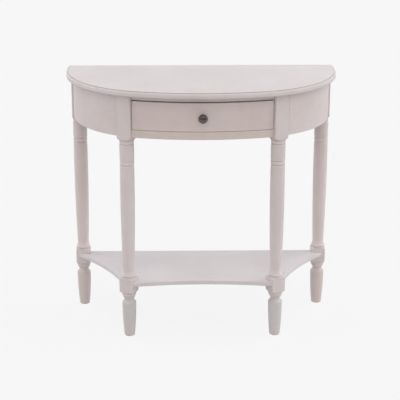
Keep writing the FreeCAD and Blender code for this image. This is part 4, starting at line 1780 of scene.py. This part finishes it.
@dataclass(frozen=True)
class Studio:
    """A pale floor, broad lamps all round and a small one overhead, a faint dome of light, and the camera."""

    floor_reach: float = 60.0
    backdrop: Colour = linear(246, 246, 246)
    floor_colour: Colour = linear(205, 204, 203)
    floor_glow: Colour = linear(255, 255, 255)
    plain_share: float = 0.84
    dome_colour: Colour = linear(255, 252, 250)
    dome_strength: float = 0.05
    lamps: tuple[Lamp, ...] = (
        Lamp("left_lamp", -90.0, 30.0, 1.04, (1.03, 0.97, 1.02)),
        Lamp("right_lamp", 90.0, 30.0, 1.47, (1.02, 0.98, 1.01)),
        Lamp("front_lamp", 0.0, 35.0, 1.10, (1.07, 1.0, 0.95)),
        Lamp("back_left_lamp", -135.0, 25.0, 0.92, (0.92, 1.0, 1.04)),
        Lamp("back_right_lamp", 135.0, 25.0, 0.82, (0.90, 1.0, 1.05)),
        Lamp("over_lamp", 8.0, 76.0, 0.25, breadth=14.0),
    )
    camera_place: Triple = (-0.07544, -3.7602, 1.66483)
    camera_yaw: float = 0.0186603
    camera_pitch: float = 0.3266457
    camera_roll: float = 0.0014074
    lens: float = 120.21
    sensor: float = 36.0

    @staticmethod
    def _shown(tree: Tree, lit: Wire, plain: Wire, share: float) -> Wire:
        """Mixes two shaders by the rays that meet them.

        Args:
            tree: the tree of the floor or the dome.
            lit: what lights the table.
            plain: what is seen straight on, in gloss or through glass.
            share: how much of the plain one is seen there.

        Returns:
            The mixed shader.
        """
        path = tree.node("ShaderNodeLightPath")
        seen = path["Is Camera Ray"].at_least(path["Is Glossy Ray"]).at_least(path["Is Transmission Ray"])
        sockets = {"Fac": seen * share, "Shader": lit, "Shader_001": plain}
        return tree.node("ShaderNodeMixShader", {}, sockets)["Shader"]

    def add_floor(self) -> None:
        """Adds the floor, which keeps a soft share of the table's shadow."""
        shape = bmesh.new()
        bmesh.ops.create_grid(shape, x_segments=1, y_segments=1, size=self.floor_reach)
        floor = bpy.data.objects.new("floor", closed_mesh(shape, "floor"))
        tree = Finisher("pale_floor")
        lit = tree.node("ShaderNodeBsdfDiffuse", {}, {"Color": self.floor_colour})["BSDF"]
        plain = tree.node("ShaderNodeEmission", {}, {"Color": self.floor_glow, "Strength": 1.0})["Emission"]
        mixed = self._shown(tree, lit, plain, self.plain_share)
        tree.node("ShaderNodeOutputMaterial", {}, {"Surface": mixed})
        floor.data.materials.append(tree.material)
        bpy.context.scene.collection.objects.link(floor)

    def add_light(self) -> None:
        """Adds the dome and the lamps."""
        world = bpy.data.worlds.new("studio")
        world.use_nodes = True
        tree = Tree(world.node_tree)
        faint = {"Color": self.dome_colour, "Strength": self.dome_strength}
        dome = tree.node("ShaderNodeBackground", {}, faint)["Background"]
        plain = tree.node("ShaderNodeBackground", {}, {"Color": self.backdrop, "Strength": 1.0})["Background"]
        tree.node("ShaderNodeOutputWorld", {}, {"Surface": self._shown(tree, dome, plain, 1.0)})
        bpy.context.scene.world = world
        for lamp in self.lamps:
            lamp.add()

    def add_camera(self) -> None:
        """Adds the camera at the photograph's place and angle."""
        yaw, pitch, roll = self.camera_yaw, self.camera_pitch, self.camera_roll
        ahead = Vector((math.sin(yaw) * math.cos(pitch), math.cos(yaw) * math.cos(pitch), -math.sin(pitch)))
        level = Vector((math.cos(yaw), -math.sin(yaw), 0.0))
        upright = level.cross(ahead)
        right = level * math.cos(roll) + upright * math.sin(roll)
        up = upright * math.cos(roll) - level * math.sin(roll)
        camera = bpy.data.cameras.new("camera")
        camera.lens = self.lens
        camera.sensor_width = self.sensor
        camera.sensor_fit = "HORIZONTAL"
        holder = bpy.data.objects.new("camera", camera)
        place = Matrix((right, up, -ahead)).transposed().to_4x4()
        place.translation = self.camera_place
        holder.matrix_world = place
        bpy.context.scene.collection.objects.link(holder)
        bpy.context.scene.camera = holder

    def add(self) -> None:
        """Sets the whole studio."""
        bpy.context.scene.view_settings.view_transform = "Standard"
        self.add_floor()
        self.add_light()
        self.add_camera()


def main() -> None:
    """Builds and dresses the table, and sets the studio round it."""
    logging.basicConfig(level=logging.INFO, format="%(name)s: %(message)s")
    plan = Plan.from_frame()
    front_leg = LegPlace.from_frame("front_left_leg", plan)
    back_leg = LegPlace.from_frame("back_left_leg")
    lathe = TurningLathe()
    Top(plan).add()
    Legs(lathe, plan).add()
    Carcass(plan, front_leg, back_leg).add()
    Drawer(plan, front_leg, lathe).add()
    Fasteners(PinSetter()).add()
    Studio().add()


if __name__ == "__main__":
    main()
